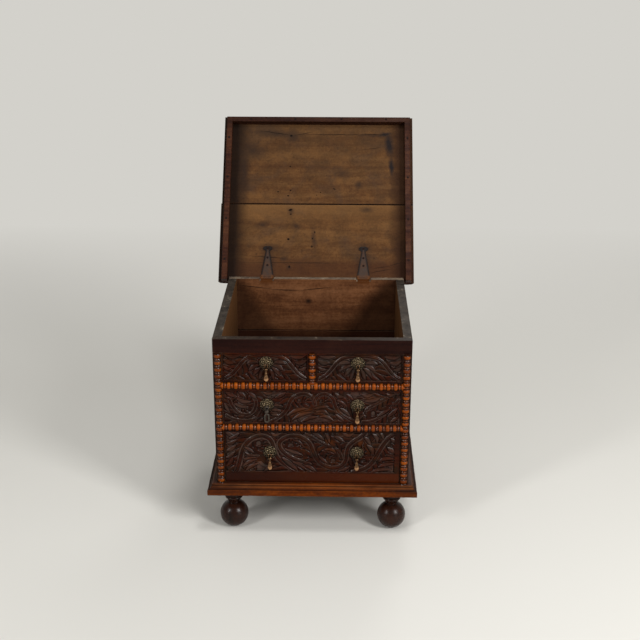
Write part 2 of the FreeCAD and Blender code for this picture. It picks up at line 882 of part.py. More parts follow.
def iron_drop(x, z):
    """Iron replacement drop: a ring, a tapering neck and a long open loop."""
    ring, centre = drop_ring(x, z)
    steps = [(w * iron_neck_radius, -drop_neck_top - h * iron_neck_run) for w, h in iron_neck_shares]
    neck = turned(outline((0, steps[0][1]), steps, lambda p: V(p[0], 0, p[1])), centre)
    low = centre.z - drop_length + iron_loop_half_width + iron_loop_wire_radius
    high = low + iron_loop_straight
    wide = iron_loop_half_width + overrun
    pieces = [neck]
    for side in (-1, 1):
        pieces.append(Part.makeCylinder(
            iron_loop_wire_radius, iron_loop_straight, V(x + side * iron_loop_half_width, centre.y, low)))
    for height, bottom in ((low, low - wide), (high, high)):
        bend = Part.makeTorus(iron_loop_half_width, iron_loop_wire_radius, V(x, centre.y, height), V(0, 1, 0))
        half_space = block(x - wide, x + wide, centre.y - wide, centre.y + wide, bottom, bottom + wide)
        pieces.append(bend.common(half_space))
    return ring.fuse(pieces).removeSplitter()


# Places of the pulls, as (x, z)
case_pulls = {
    "drop_top_left": (pull_left_x, top_pull_z),
    "drop_top_right": (pull_right_x, top_pull_z),
    "drop_middle_left": (pull_left_x, middle_pull_z),
    "drop_middle_right": (pull_right_x, middle_pull_z),
}
drawer_drops = {
    "drop_drawer_left": (drawer_pull_left_x, drawer_pull_z),
    "drop_drawer_right": (pull_right_x, drawer_pull_z),
}
drawer_pulls = list(drawer_drops.values())


def build_parts():
    """All pieces by node name, with the lid open and the drawer shut."""
    nodes = {
        "base_board": base_board(),
        "side_left_front_board": side_board(-1, True),
        "side_left_rear_board": side_board(-1, False),
        "side_right_front_board": side_board(1, True),
        "side_right_rear_board": side_board(1, False),
        "back_upper_board": back_upper_board(),
        "back_lower_board": back_lower_board(),
        "front_top_rail": front_top_rail(),
        "front_muntin": front_board(-bead_radius, bead_radius, rail_mid_top, top_rail_bottom, []),
        "front_middle_rail": front_board(-inner_half, inner_half, rail_mid_bottom, rail_mid_top, []),
        "front_lower_rail": front_board(-inner_half, inner_half, rail_low_bottom, rail_low_top, []),
        "top_panel_left": front_board(
            -inner_half, -bead_radius, rail_mid_top, top_rail_bottom, [case_pulls["drop_top_left"]]),
        "top_panel_right": front_board(
            bead_radius, inner_half, rail_mid_top, top_rail_bottom, [case_pulls["drop_top_right"]]),
        "middle_panel": front_board(
            -inner_half, inner_half, rail_low_top, rail_mid_bottom,
            [case_pulls["drop_middle_left"], case_pulls["drop_middle_right"]]),
        "compartment_floor": compartment_floor(),
        "batten_left": batten(-1),
        "batten_right": batten(1),
        "plinth_moulding_front": plinth_front(),
        "plinth_moulding_left": plinth_side(-1),
        "plinth_moulding_right": plinth_side(1),
        "bead_strip_upper": bead_strip_level("bead_strip_upper"),
        "bead_strip_lower": bead_strip_level("bead_strip_lower"),
        "bead_strip_left": bead_strip_upright(-1),
        "bead_strip_right": bead_strip_upright(1),
        "bead_strip_muntin": bead_strip_muntin(),
        "hinge_leaf_left": hinge_leaf(hinge_left_x),
        "hinge_leaf_right": hinge_leaf(hinge_right_x),
        "hinge_pins": hinge_pins(),
        "case_pull_plates": Part.makeCompound([pull_plate(x, z) for x, z in case_pulls.values()]),
        "case_pull_pins": Part.makeCompound([pull_pin(x, z) for x, z in case_pulls.values()]),
        "case_nails": Part.makeCompound(
            [nail(*place) for place in back_nails() + base_nails() + batten_nails() + leaf_nails()]),
        "drawer_front": drawer_front(),
        "drawer_side_left": drawer_side(-1),
        "drawer_side_right": drawer_side(1),
        "drawer_back": drawer_back(),
        "drawer_bottom": drawer_bottom(),
        "drawer_pull_plates": Part.makeCompound([pull_plate(x, z) for x, z in drawer_pulls]),
        "drawer_pull_pins": Part.makeCompound([pull_pin(x, z) for x, z in drawer_pulls]),
        "drawer_nails": Part.makeCompound(
            [sprig(*place) for place in drawer_sprigs()] + [nail(*place) for place in drawer_bottom_nails()]),
        "lid_front_board": lid_board(True),
        "lid_rear_board": lid_board(False),
        "lid_lip_front": lid_lip_front(),
        "lid_lip_left": lid_lip_side(-1),
        "lid_lip_right": lid_lip_side(1),
        "hinge_strap_left": hinge_strap(hinge_left_x),
        "hinge_strap_right": hinge_strap(hinge_right_x),
        "lid_nails": opened(Part.makeCompound([nail(*place) for place in lip_nails() + strap_nails()])),
    }
    for name, (x, y) in foot_places().items():
        nodes[name] = foot(x, y)
    for name, (x, z) in {**case_pulls, **drawer_drops}.items():
        nodes[name] = iron_drop(x, z) if name == "drop_middle_left" else brass_drop(x, z)
    return nodes


def main():
    """Builds the pieces, centres the footprint on the origin and writes one file for each piece."""
    os.makedirs("parts", exist_ok=True)
    nodes = build_parts()
    lid_box = nodes["lid_front_board"].optimalBoundingBox(False, False)
    shift = V(0, (plinth_projection - lid_box.YMax) / 2, 0)
    for name, shape in nodes.items():
        shape.translate(shift)
        shape.exportStep(os.path.join("parts", name + ".step"))
    print("carcass front face y", round(shift.y, 4))
    print("rim z", rim, "lid turn", lid_turn)
    print("lid axis y, z", round(axis_y + shift.y, 4), round(axis_z, 4))
    print("pull axis y", round(shift.y - pull_loop_reach, 4))
    print("drawer travel", drawer_travel)
    for name, (x, z) in {**case_pulls, **drawer_drops}.items():
        print(name, "axis x, z", x, round(z - pull_seat_drop, 4))
    solids = sum(len(shape.Solids) for shape in nodes.values())
    faults = [name for name, shape in nodes.items() if not shape.isValid() or shape.Volume <= 0]
    print(len(nodes), "nodes,", solids, "solids, faults:", faults)


if __name__ == "__main__":
    main()
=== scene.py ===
import json
import math

import bpy
import numpy as np
from bpy.props import FloatProperty, FloatVectorProperty, PointerProperty
from mathutils import Matrix, Vector


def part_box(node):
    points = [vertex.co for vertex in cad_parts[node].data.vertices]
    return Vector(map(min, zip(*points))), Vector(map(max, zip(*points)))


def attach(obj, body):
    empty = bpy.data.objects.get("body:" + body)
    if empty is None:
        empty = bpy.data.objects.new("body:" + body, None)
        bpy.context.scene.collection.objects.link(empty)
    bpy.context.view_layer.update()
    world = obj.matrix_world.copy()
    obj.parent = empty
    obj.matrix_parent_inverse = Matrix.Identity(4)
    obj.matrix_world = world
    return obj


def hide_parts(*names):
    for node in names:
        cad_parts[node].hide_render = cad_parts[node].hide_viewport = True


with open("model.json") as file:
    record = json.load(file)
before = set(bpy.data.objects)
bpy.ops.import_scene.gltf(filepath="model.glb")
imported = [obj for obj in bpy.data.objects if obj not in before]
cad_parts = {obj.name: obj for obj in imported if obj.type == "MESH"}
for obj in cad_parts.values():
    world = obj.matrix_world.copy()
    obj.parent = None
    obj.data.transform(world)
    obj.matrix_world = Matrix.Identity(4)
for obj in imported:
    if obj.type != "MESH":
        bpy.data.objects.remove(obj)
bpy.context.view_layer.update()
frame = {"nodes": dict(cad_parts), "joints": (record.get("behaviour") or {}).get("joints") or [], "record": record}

bl_info = {
    "name": "Carved oak box",
    "version": (1, 0, 0),
    "blender": (4, 5, 0),
    "location": "3D View > Sidebar > Oak box",
    "description": "Dresses the packed oak box with carving, split turnings, brass pulls and old finishes",
    "category": "Object",
}

MM = 0.001
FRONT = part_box("top_panel_left")[0].y
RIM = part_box("front_top_rail")[1].z
RING = (3.4 * MM, 1.7 * MM)


# Meshes


def quads(rows, columns, wrap=False):
    """Faces of a grid of points, row by row; wrap joins the last column to the first."""
    i = np.arange(rows - 1)[:, None]
    j = np.arange(columns if wrap else columns - 1)[None, :]
    k = (j + 1) % columns
    return np.stack([i * columns + j, i * columns + k, (i + 1) * columns + k, (i + 1) * columns + j],
                    -1).reshape(-1, 4)


def volume(points, faces):
    """Signed volume: a sixth of the sum of the triple products of each face's fan of triangles."""
    total = 0.0
    for block in faces:
        p = points[block]
        for k in range(1, block.shape[1] - 1):
            total += np.einsum("ij,ij->i", p[:, 0], np.cross(p[:, k], p[:, k + 1])).sum()
    return total


def tube(grid, hollow=None, wear_and_highlight=None):
    """Closed shell from rings of points: grid[i, j] is point j of ring i, and both end rings are faced."""
    rows, columns = grid.shape[:2]
    ends = [np.arange(columns)[None, ::-1], np.arange(columns)[None, :] + (rows - 1) * columns]
    points = grid.reshape(-1, 3)
    flat = np.zeros(len(points))
    shades = [flat if values is None else values.ravel() for values in (hollow, wear_and_highlight)]
    return (points, [quads(rows, columns, wrap=True)] + ends, *shades)


def slab(sheet, back, hollow=None, wear_and_highlight=None):
    """Closed shell under a sheet of points: its edge is carried back to the plane y = back and faced
    there."""
    rows, columns = sheet.shape[:2]
    index = np.arange(rows * columns).reshape(rows, columns)
    edge = np.concatenate([index[0, :-1], index[:-1, -1], index[-1, :0:-1], index[:0:-1, 0]])
    points = sheet.reshape(-1, 3)
    rear = points[edge].copy()
    rear[:, 1] = back
    count = len(edge)
    ring = np.arange(count) + rows * columns
    sides = np.stack([edge, ring, np.roll(ring, -1), np.roll(edge, -1)], -1)
    flat = np.zeros(len(points) + count)
    shades = [flat if values is None else np.concatenate([values.ravel(), np.zeros(count)])
              for values in (hollow, wear_and_highlight)]
    faces = [quads(rows, columns)[:, ::-1], sides[:, ::-1], ring[None, ::-1]]
    return (np.concatenate([points, rear]), faces, *shades)


def turn_points(points, centre, axis, side):
    """Points laid out as (across, up, out) carried to a centre: up runs along axis and out along side."""
    axis, side = np.array(axis, float), np.array(side, float)
    across = np.cross(axis, side)
    return np.array(centre) + points @ np.stack([across, axis, side])


def lathe(profile, centre, axis=(0, 0, 1), side=(0, -1, 0), segments=64, wobble=0.0, seed=0):
    """Turned shell: ring i is a circle of radius r_i at height h_i along the axis. The radius also follows
    1 + wobble * cos(2 * angle + phase), as wood shrinks across its grain."""
    profile = np.asarray(profile, float)
    angle = np.linspace(0, 2 * math.pi, segments, endpoint=False)
    phase = np.random.default_rng(seed).uniform(0, math.pi)
    r = np.maximum(profile[:, :1], 1e-6) * (1 + wobble * np.cos(2 * angle + phase))[None, :]
    h = np.broadcast_to(profile[:, 1:2], r.shape)
    local = np.stack([r * np.sin(angle), h, r * np.cos(angle)], -1)
    grid = turn_points(local.reshape(-1, 3), centre, axis, side).reshape(*r.shape, 3)
    bend = np.gradient(np.gradient(profile[:, 0]))
    bend = np.broadcast_to((bend / (np.abs(bend).max() + 1e-12))[:, None], r.shape)
    return tube(grid, np.clip(bend, 0, 1), np.clip(-bend, 0, 1))


def ring_shell(centre, major, minor, normal, side, rounds=48, sides=16):
    """Ring: a circle of radius minor carried round a circle of radius major in the plane across normal.
    The seam joins its last circle to its first."""
    u = np.linspace(0, 2 * math.pi, rounds, endpoint=False)[:, None]
    v = np.linspace(0, 2 * math.pi, sides, endpoint=False)[None, :]
    r = major + minor * np.cos(v)
    local = np.stack([r * np.sin(u), np.broadcast_to(minor * np.sin(v), (rounds, sides)), r * np.cos(u)], -1)
    points = turn_points(local.reshape(-1, 3), centre, normal, side)
    last = (rounds - 1) * sides
    j = np.arange(sides)
    k = (j + 1) % sides
    seam = np.stack([last + j, last + k, k, j], -1)
    flat = np.zeros(len(points))
    return points, [quads(rounds, sides, wrap=True), seam], flat, flat


def make_piece(name, shells, body, nodes, material, sharp=50.0):
    """Object from closed shells, each (points, blocks of faces, and two shades per point: dirt with painted
    shade, and wear with painted highlight) and turned outwards. It rides on a body and stands for CAD nodes."""
    points, blocks, hollow, wear_and_highlight, base = [], [], [], [], 0
    for p, faces, h, w in shells:
        turned = volume(p, faces) < 0
        blocks += [(f[:, ::-1] if turned else f) + base for f in faces]
        points.append(p)
        hollow.append(h)
        wear_and_highlight.append(w)
        base += len(p)
    mesh = bpy.data.meshes.new(name)
    co = np.concatenate(points).astype(np.float32)
    mesh.vertices.add(len(co))
    mesh.vertices.foreach_set("co", co.ravel())
    corner = np.concatenate([b.ravel() for b in blocks]).astype(np.int32)
    count = np.concatenate([np.full(len(b), b.shape[1]) for b in blocks])
    mesh.loops.add(len(corner))
    mesh.loops.foreach_set("vertex_index", corner)
    mesh.polygons.add(len(count))
    mesh.polygons.foreach_set("loop_start", np.concatenate([[0], np.cumsum(count)[:-1]]).astype(np.int32))
    mesh.update(calc_edges=True)
    for title, values in (("hollow", hollow), ("wear_and_highlight", wear_and_highlight)):
        layer = mesh.attributes.new(title, "FLOAT", "POINT")
        layer.data.foreach_set("value", np.concatenate(values).astype(np.float32))
    mesh.polygons.foreach_set("use_smooth", np.ones(len(count), bool))
    mesh.set_sharp_from_angle(angle=math.radians(sharp))
    mesh.materials.append(material)
    obj = bpy.data.objects.new(name, mesh)
    bpy.context.scene.collection.objects.link(obj)
    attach(obj, body)
    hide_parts(*nodes)


# Carving: heights in millimetres on a grid of (x, z), x from the middle and z down from the rim


def curve_through(points, steps):
    """Smooth path through points: between two of them, the cubic with the mean slope of their neighbours."""
    p = np.asarray(points, float)
    q = np.vstack([2 * p[0] - p[1], p, 2 * p[-1] - p[-2]])
    t = np.linspace(0, 1, steps, endpoint=False)[None, :, None]
    a, b, c, d = q[:-3, None], q[1:-2, None], q[2:-1, None], q[3:, None]
    run = 0.5 * (2 * b + (c - a) * t + (2 * a - 5 * b + 4 * c - d) * t ** 2 + (3 * b - a - 3 * c + d)
                 * t ** 3)
    return np.vstack([run.reshape(-1, 2), p[-1:]])


def along_path(x, z, points, reach):
    """Distance of each grid point to a path, its place along it from 0 to 1, and the path's length."""
    path = curve_through(points, steps=9)
    nowhere_near = 1e3
    near = np.full(x.shape, nowhere_near)
    place = np.zeros(x.shape)
    inside = ((x > path[:, 0].min() - reach) & (x < path[:, 0].max() + reach)
              & (z > path[:, 1].min() - reach) & (z < path[:, 1].max() + reach))
    px, pz = x[inside], z[inside]
    best = np.full(px.shape, nowhere_near)
    share = np.zeros(px.shape)
    lengths = np.linalg.norm(np.diff(path, axis=0), axis=1)
    starts = np.concatenate([[0], np.cumsum(lengths)])
    for k in range(len(lengths)):
        a, d = path[k], path[k + 1] - path[k]
        t = np.clip(((px - a[0]) * d[0] + (pz - a[1]) * d[1]) / max(lengths[k] ** 2, 1e-9), 0, 1)
        far = np.hypot(px - a[0] - t * d[0], pz - a[1] - t * d[1])
        closer = far < best
        best[closer] = far[closer]
        share[closer] = (starts[k] + t[closer] * lengths[k]) / starts[-1]
    near[inside] = best
    place[inside] = share
    return near, place, starts[-1]


def smooth_step(value):
    """0 below 0, 1 above 1 and 3v^2 - 2v^3 between."""
    v = np.clip(value, 0, 1)
    return v * v * (3 - 2 * v)


def carve(x, z, design, depth):
    """Relief below the face: a sunk ground, leaf fingers that spring slantwise from the nearest ribbon,
    ribbons with two scored lines left standing, leaves with a faint vein, eyes scooped round, and tapered
    strokes raised last. Finger: side = |2 frac((place along ribbon + slant * distance) / pitch) - 1| over
    a width that falls with the root of the distance; ribbon: 1 - (distance / half width)^4; leaf and
    stroke: half width times sin(pi t)^0.6 along the path, with a round section across. The second result
    is how far a place is rubbed and lit by painted highlight, from 0 to 1: lines along the ribbons' edges
    and the crests of the strokes. A design's ribbons, leaves and flutes are (points, width), and its eyes
    are (centre, two half widths)."""
    reach, pitch, slant, finger_length = 45.0, 15.5, 0.85, 34.0
    gap = np.full(x.shape, reach)
    run = 0.9 * x + 0.4 * z
    tracks = []
    for points, width in design["ribbons"]:
        near, place, length = along_path(x, z, points, reach)
        closer = near - width / 2 < gap
        gap = np.where(closer, near - width / 2, gap)
        run = np.where(closer, place * length, run)
        tracks.append((near, width))
    turn = (run + slant * gap + 2.2 * np.sin(run * 0.11 + 0.05 * x)) / pitch
    across = 2 * (turn - np.floor(turn)) - 1
    side = np.abs(across) / np.maximum(0.88 * np.sqrt(np.clip(1 - gap / finger_length, 0, 1)), 0.02)
    finger = -depth * (0.20 + 0.36 * side ** 2)
    ground = -depth * (0.90 + 0.05 * np.sin(x * 0.8 + np.sin(z * 0.3)) * np.sin(z * 0.9))
    height = finger + (ground - finger) * smooth_step((side - 0.85) / 0.30)
    height -= depth * 0.3 * np.exp(-gap / 1.2)
    for points, width in design["leaves"]:
        near, place, _ = along_path(x, z, points, width)
        half = 0.5 * width * np.sin(math.pi * np.clip(place * 0.94 + 0.03, 0, 1)) ** 0.6
        side = near / np.maximum(half, 0.05)
        mass = -0.12 * depth - 0.42 * depth * side ** 2 - 0.26 * depth * np.exp(-(side / 0.20) ** 2)
        height = np.where(side < 1.0, np.maximum(height, mass), height)
    for near, width in tracks:
        half = width / 2
        top = -0.03 * depth - 0.46 * depth * np.clip(near / half, 0, 1.2) ** 4
        top -= 0.40 * depth * np.exp(-((near - 0.46 * half) / (0.15 * half)) ** 2)
        mass = top - (depth + 0.2) * smooth_step((near - half + 0.2) / 0.9)
        height = np.maximum(height, mass)
    for (cx, cz), rx, rz in design["eyes"]:
        far = np.hypot((x - cx) / rx, (z - cz) / rz)
        rim = -0.10 * depth - 0.5 * depth * np.clip(np.abs(far - 1.15) / 0.35, 0, 1) ** 2
        height = np.where((far > 0.8) & (far < 1.5), np.maximum(height, rim), height)
        height = np.where(far < 1, -0.10 * depth - 0.95 * depth * np.sqrt(np.clip(1 - far ** 2, 0, 1)),
                          height)
    # Lines along the ribbons' edges and the strokes' crests: rubbed wood that also carries painted highlight
    rubbed_and_highlight = np.zeros(x.shape)
    for near, width in tracks:
        line = np.exp(-((near - 0.82 * width / 2) / (0.11 * width)) ** 2)
        rubbed_and_highlight = np.maximum(rubbed_and_highlight, line * (height > -0.55 * depth))
    for points, width in design["flutes"]:
        near, place, _ = along_path(x, z, points, width * 1.4)
        half = 0.64 * width * np.sin(math.pi * np.clip(place * 0.9 + 0.08, 0, 1)) ** 0.6
        side = near / np.maximum(half, 0.05)
        moat = -depth * (0.95 - 0.9 * smooth_step((side - 1.15) / 0.40))
        height = np.where(side < 1.7, np.minimum(height, moat), height)
        height = np.where(side < 1.1, np.maximum(height, -depth * (0.12 + 0.60 * side ** 2)), height)
        rubbed_and_highlight = np.where(side < 1.7, 0.48 * np.exp(-(side / 0.75) ** 2), rubbed_and_highlight)
    return np.maximum(height, -1.12 * depth), rubbed_and_highlight


def from_edge(x, z, field):
    """Distance inwards from the nearest edge of a field (left, right, low, high), below 0 outside it."""
    left, right, low, high = field
    return np.minimum(np.minimum(x - left, right - x), np.minimum(z - low, high - z))


def fan(cx, cz, angles, inner, outer, width):
    """Flutes that spread from a centre, each bending downwards a little."""
    rays = []
    for turn in np.radians(angles):
        c, s = math.cos(turn), math.sin(turn)
        bends = ((inner, 0.0), ((inner + outer) / 2, 1.2), (outer, -1.5))
        rays.append(([(cx + r * c, cz + r * s + lift) for r, lift in bends], width))
    return rays


def lunette(left, right, pull_x):
    """Arch over the pull with a fan of flutes under it and leaves in the corners above. Its points are
    shares of the panel's half width, so the arch fits any panel."""
    half = (right - left) / 2
    middle = (left + right) / 2

    def at(share, z):
        return (middle + share * half, z)

    arch = [at(-0.93, -96), at(-0.78, -86), at(-0.64, -70), at(-0.53, -56), at(-0.40, -46), at(-0.2, -41.5),
            at(0, -40), at(0.22, -41.5), at(0.42, -46), at(0.55, -56), at(0.66, -70), at(0.79, -85),
            at(0.93, -95)]
    corners = []
    for side in (-1, 1):
        corners += [
            ([at(side * 0.96, -38), at(side * 0.78, -44), at(side * 0.58, -41)], 8.0),
            ([at(side * 0.97, -51), at(side * 0.84, -58), at(side * 0.70, -56)], 8.5),
            ([at(side * 0.97, -68), at(side * 0.89, -74), at(side * 0.80, -73)], 7.0),
        ]
    rays = fan(pull_x, -56, (-156, -178, -26, -2, -134, -46, -112, -68), inner=19, outer=44, width=8.2)
    foot = [at(share, -101.5) for share in (-0.97, 0, 0.97)]
    return {
        "ribbons": [(arch, 10.5), (foot, 4.0)],
        "leaves": [],
        "eyes": [((pull_x - 24, -53), 4.5, 4.0), ((pull_x + 24, -53), 4.5, 4.0)],
        "flutes": corners + rays,
    }


MIDDLE = {
    "ribbons": [
        ([(-199, -132), (-191, -148), (-185, -163), (-176, -177), (-162, -187), (-148, -188), (-136, -180),
          (-130, -166), (-130, -151), (-139, -138), (-150, -131)], 9.0),
        ([(-198, -190), (-182, -199), (-162, -203), (-142, -202), (-126, -194), (-118, -182), (-114, -172)],
         8.0),
        ([(-94, -205), (-79, -196), (-66, -184), (-57, -171), (-52, -157), (-45, -145), (-33, -137),
          (-18, -134), (-5, -139), (3, -149), (6, -160)], 10.0),
        ([(6, -150), (14, -139), (27, -134), (39, -138), (48, -149), (52, -163), (59, -176), (71, -187),
          (84, -196), (97, -204)], 10.0),
        ([(122, -176), (134, -165), (149, -156), (165, -146), (180, -137), (196, -129)], 8.5),
        ([(116, -204), (136, -202), (154, -193), (168, -181), (182, -167), (198, -148)], 9.0),
    ],
    "leaves": [
        ([(-180, -140), (-166, -152), (-150, -164), (-140, -176)], 15.0),
        ([(-48, -190), (-26, -180), (-2, -176), (24, -183), (42, -194)], 15.0),
        ([(-42, -200), (-18, -178), (8, -168), (34, -164)], 11.0),
        ([(-92, -150), (-78, -150), (-64, -140)], 10.0),
        ([(62, -140), (74, -150), (82, -164)], 10.0),
        ([(126, -198), (134, -182), (146, -170)], 10.0),
        ([(160, -170), (172, -164), (184, -150)], 9.0),
    ],
    "eyes": [((-30, -151), 5.5, 6.0), ((20, -151), 5.0, 5.5), ((140, -182), 6.0, 8.0),
             ((-158, -146), 4.5, 4.5), ((-70, -163), 4.0, 4.0), ((60, -162), 4.0, 4.0)],
    "flutes": [
        ([(-197, -132), (-186, -139), (-174, -142)], 8.0), ([(-168, -131), (-160, -138), (-152, -143)], 7.0),
        ([(-146, -132), (-136, -140), (-127, -149)], 7.0), ([(-178, -161), (-162, -169), (-146, -168)], 7.0),
        ([(-172, -148), (-158, -156), (-142, -156)], 8.0), ([(-202, -160), (-197, -172), (-190, -182)], 7.0),
        ([(-122, -205), (-112, -198), (-104, -190)], 6.5), ([(-84, -144), (-72, -139), (-60, -131)], 7.5),
        ([(-112, -131), (-102, -136), (-90, -132)], 6.0), ([(-92, -166), (-82, -164), (-70, -166)], 5.5),
        ([(-93, -176), (-83, -176), (-72, -179)], 6.0), ([(-94, -188), (-84, -188), (-76, -192)], 6.0),
        ([(-58, -190), (-36, -176), (-8, -170)], 7.0), ([(-46, -200), (-24, -187), (2, -180)], 7.5),
        ([(-26, -205), (-6, -196), (14, -192)], 7.0), ([(4, -172), (20, -168), (38, -166)], 6.0),
        ([(8, -180), (26, -178), (40, -188)], 6.5), ([(18, -192), (32, -192), (50, -202)], 7.0),
        ([(52, -132), (60, -140), (74, -142)], 7.0), ([(78, -134), (86, -142), (94, -148)], 6.5),
        ([(58, -150), (68, -156), (80, -166)], 6.0), ([(64, -170), (74, -178), (88, -190)], 7.0),
        ([(54, -186), (62, -194), (74, -203)], 6.5), ([(110, -133), (124, -139), (140, -133)], 7.0),
        ([(122, -152), (140, -150), (158, -141)], 8.0), ([(168, -131), (178, -137), (192, -132)], 6.5),
        ([(150, -190), (164, -180), (180, -170)], 6.5), ([(174, -190), (186, -180), (196, -168)], 7.5),
        ([(180, -204), (189, -198), (198, -189)], 7.0), ([(108, -196), (116, -188), (124, -190)], 6.0),
        ([(-107, -187), (-107, -196), (-107, -206)], 6.5),
    ],
}

DRAWER = {
    "ribbons": [
        ([(-178, -337), (-171, -314), (-166, -293), (-160, -274), (-149, -258), (-134, -247), (-118, -243),
          (-104, -247), (-95, -257), (-91, -270), (-88, -284), (-82, -298), (-72, -310), (-58, -321),
          (-42, -334)], 14.0),
        ([(-6, -318), (-26, -310), (-46, -301), (-62, -290), (-74, -276), (-77, -262), (-68, -250),
          (-52, -243), (-34, -243), (-18, -250), (-6, -262), (0, -278), (7, -296), (18, -312), (36, -323),
          (54, -325), (69, -318), (78, -304), (80, -286), (84, -269), (95, -256), (109, -246), (122, -234)],
         13.0),
        ([(-14, -238), (4, -247), (22, -259), (38, -268), (54, -275), (64, -286), (68, -298)], 9.0),
        ([(96, -336), (112, -330), (128, -322), (141, -308), (150, -291), (158, -275), (167, -259),
          (178, -245), (194, -232)], 13.5),
    ],
    "leaves": [
        ([(-148, -270), (-134, -284), (-118, -298), (-108, -316)], 17.0),
        ([(-160, -334), (-148, -316), (-132, -304), (-116, -304)], 15.0),
        ([(-64, -268), (-46, -274), (-28, -284), (-12, -300)], 17.0),
        ([(20, -294), (32, -280), (48, -284), (58, -298), (50, -312)], 13.0),
        ([(120, -268), (134, -278), (142, -290)], 13.0), ([(124, -312), (128, -298), (134, -286)], 11.0),
        ([(170, -300), (180, -284), (192, -270)], 15.0), ([(152, -330), (170, -314), (192, -306)], 13.0),
        ([(30, -236), (46, -250), (64, -258)], 14.0),
    ],
    "eyes": [((-125, -262), 7.5, 8.0), ((-50, -265), 8.0, 5.5), ((48, -305), 7.0, 6.5),
             ((120, -305), 7.0, 5.0), ((-140, -330), 6.0, 4.5)],
    "flutes": [
        ([(-202, -232), (-192, -240), (-181, -246)], 7.5), ([(-194, -251), (-181, -246), (-168, -235)], 7.0),
        ([(-200, -264), (-188, -262), (-175, -253)], 7.0), ([(-200, -282), (-189, -278), (-177, -266)], 7.5),
        ([(-201, -300), (-192, -296), (-181, -285)], 7.0), ([(-200, -322), (-192, -312), (-185, -299)], 8.0),
        ([(-158, -272), (-148, -279), (-136, -287)], 7.0), ([(-158, -285), (-146, -294), (-122, -293)], 6.0),
        ([(-160, -304), (-148, -303), (-132, -299)], 7.5), ([(-162, -322), (-148, -311), (-130, -304)], 7.0),
        ([(-156, -334), (-144, -323), (-126, -315)], 7.0), ([(-112, -334), (-99, -325), (-86, -318)], 7.0),
        ([(-96, -234), (-86, -241), (-74, -236)], 6.5), ([(-70, -300), (-54, -314), (-34, -333)], 9.0),
        ([(-45, -310), (-26, -319), (-8, -334)], 9.0), ([(-20, -317), (-4, -326), (10, -335)], 7.5),
        ([(-44, -253), (-30, -259), (-17, -273)], 6.0), ([(-64, -276), (-46, -284), (-22, -292)], 7.0),
        ([(2, -235), (14, -242), (27, -251)], 7.5), ([(31, -235), (37, -246), (40, -259)], 7.0),
        ([(51, -242), (62, -249), (75, -256)], 7.5), ([(70, -234), (83, -240), (96, -235)], 7.0),
        ([(14, -290), (23, -303), (38, -314)], 6.5), ([(30, -277), (44, -276), (56, -286)], 7.0),
        ([(62, -333), (75, -329), (88, -320)], 6.5), ([(116, -267), (118, -280), (116, -293)], 6.0),
        ([(128, -265), (138, -276), (142, -291)], 8.5), ([(121, -243), (130, -254), (136, -265)], 7.5),
        ([(140, -235), (149, -245), (151, -259)], 7.5), ([(157, -233), (163, -240), (165, -249)], 6.0),
        ([(175, -270), (184, -278), (195, -284)], 8.0), ([(172, -289), (184, -293), (197, -292)], 6.5),
        ([(156, -307), (170, -300), (192, -300)], 8.0), ([(155, -322), (170, -315), (192, -312)], 7.5),
        ([(138, -335), (156, -329), (184, -327)], 7.5), ([(182, -246), (190, -254), (198, -263)], 7.0),
    ],
}

# Carved fields within the plain borders: left, right, low and high
MIDDLE_FIELD = (-203, 203, -208, -127)
DRAWER_FIELD = (-202, 192, -336, -231)


def carved_sheet(node, design, field, spacing, depth):
    """Front of a carved board on a square grid: y is the face plus the carved depth, a slow wave left by
    the plane and rounded edges. A cut of a millimetre and a half slopes down from the plain border to the
    field. Dirt and painted shade lie where the height is below the mean of its neighbours, darker the
    deeper it is; wear lies where the height is above, on the ground, and with painted highlight on the
    rubbed lines and strokes."""
    most_points = 94000
    low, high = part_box(node)
    spacing = max(spacing, math.sqrt((high.x - low.x) * (high.z - low.z) / most_points))
    across = np.linspace(low.x, high.x, int((high.x - low.x) / spacing) + 1)
    up = np.linspace(high.z, low.z, int((high.z - low.z) / spacing) + 1)
    x, z = np.meshgrid(across / MM, (up - RIM) / MM)
    height, rubbed_and_highlight = carve(x, z, design, depth / MM)
    height = height * smooth_step(from_edge(x, z, field) / 1.5)
    wave = 0.10 * np.sin(x * 0.11 + 1.3) * np.sin(z * 0.19) - 0.10
    round_over = from_edge(x, z, (x.min(), x.max(), z.min(), z.max()))
    height = height + wave - 0.5 * np.clip(1 - round_over / 0.9, 0, 1) ** 2
    sheet = np.stack([x * MM, low.y - height * MM, RIM + z * MM], -1)
    bend = height - (np.roll(height, 2, 0) + np.roll(height, -2, 0) + np.roll(height, 2, 1)
                     + np.roll(height, -2, 1)) / 4
    bend *= (0.6 * MM / spacing) ** 2
    level = -height / (depth / MM)
    inset = smooth_step((from_edge(x, z, field) - 1) / 2)
    # Dirt and painted shade: dark in concave places and darker the deeper they are
    hollow = np.clip(-bend * 3.8 - 0.06, 0, 1) + 0.15 * level
    ground = smooth_step((level - 0.78) / 0.1) * (bend > -0.12)
    wear_and_highlight = np.maximum(np.clip(bend * 2.0 - 0.9, 0, 0.5), np.maximum(0.46 * ground, 0.70 * rubbed_and_highlight)) * inset
    return sheet, np.clip(hollow, 0, 1), np.clip(wear_and_highlight, 0, 1)


# Split turnings


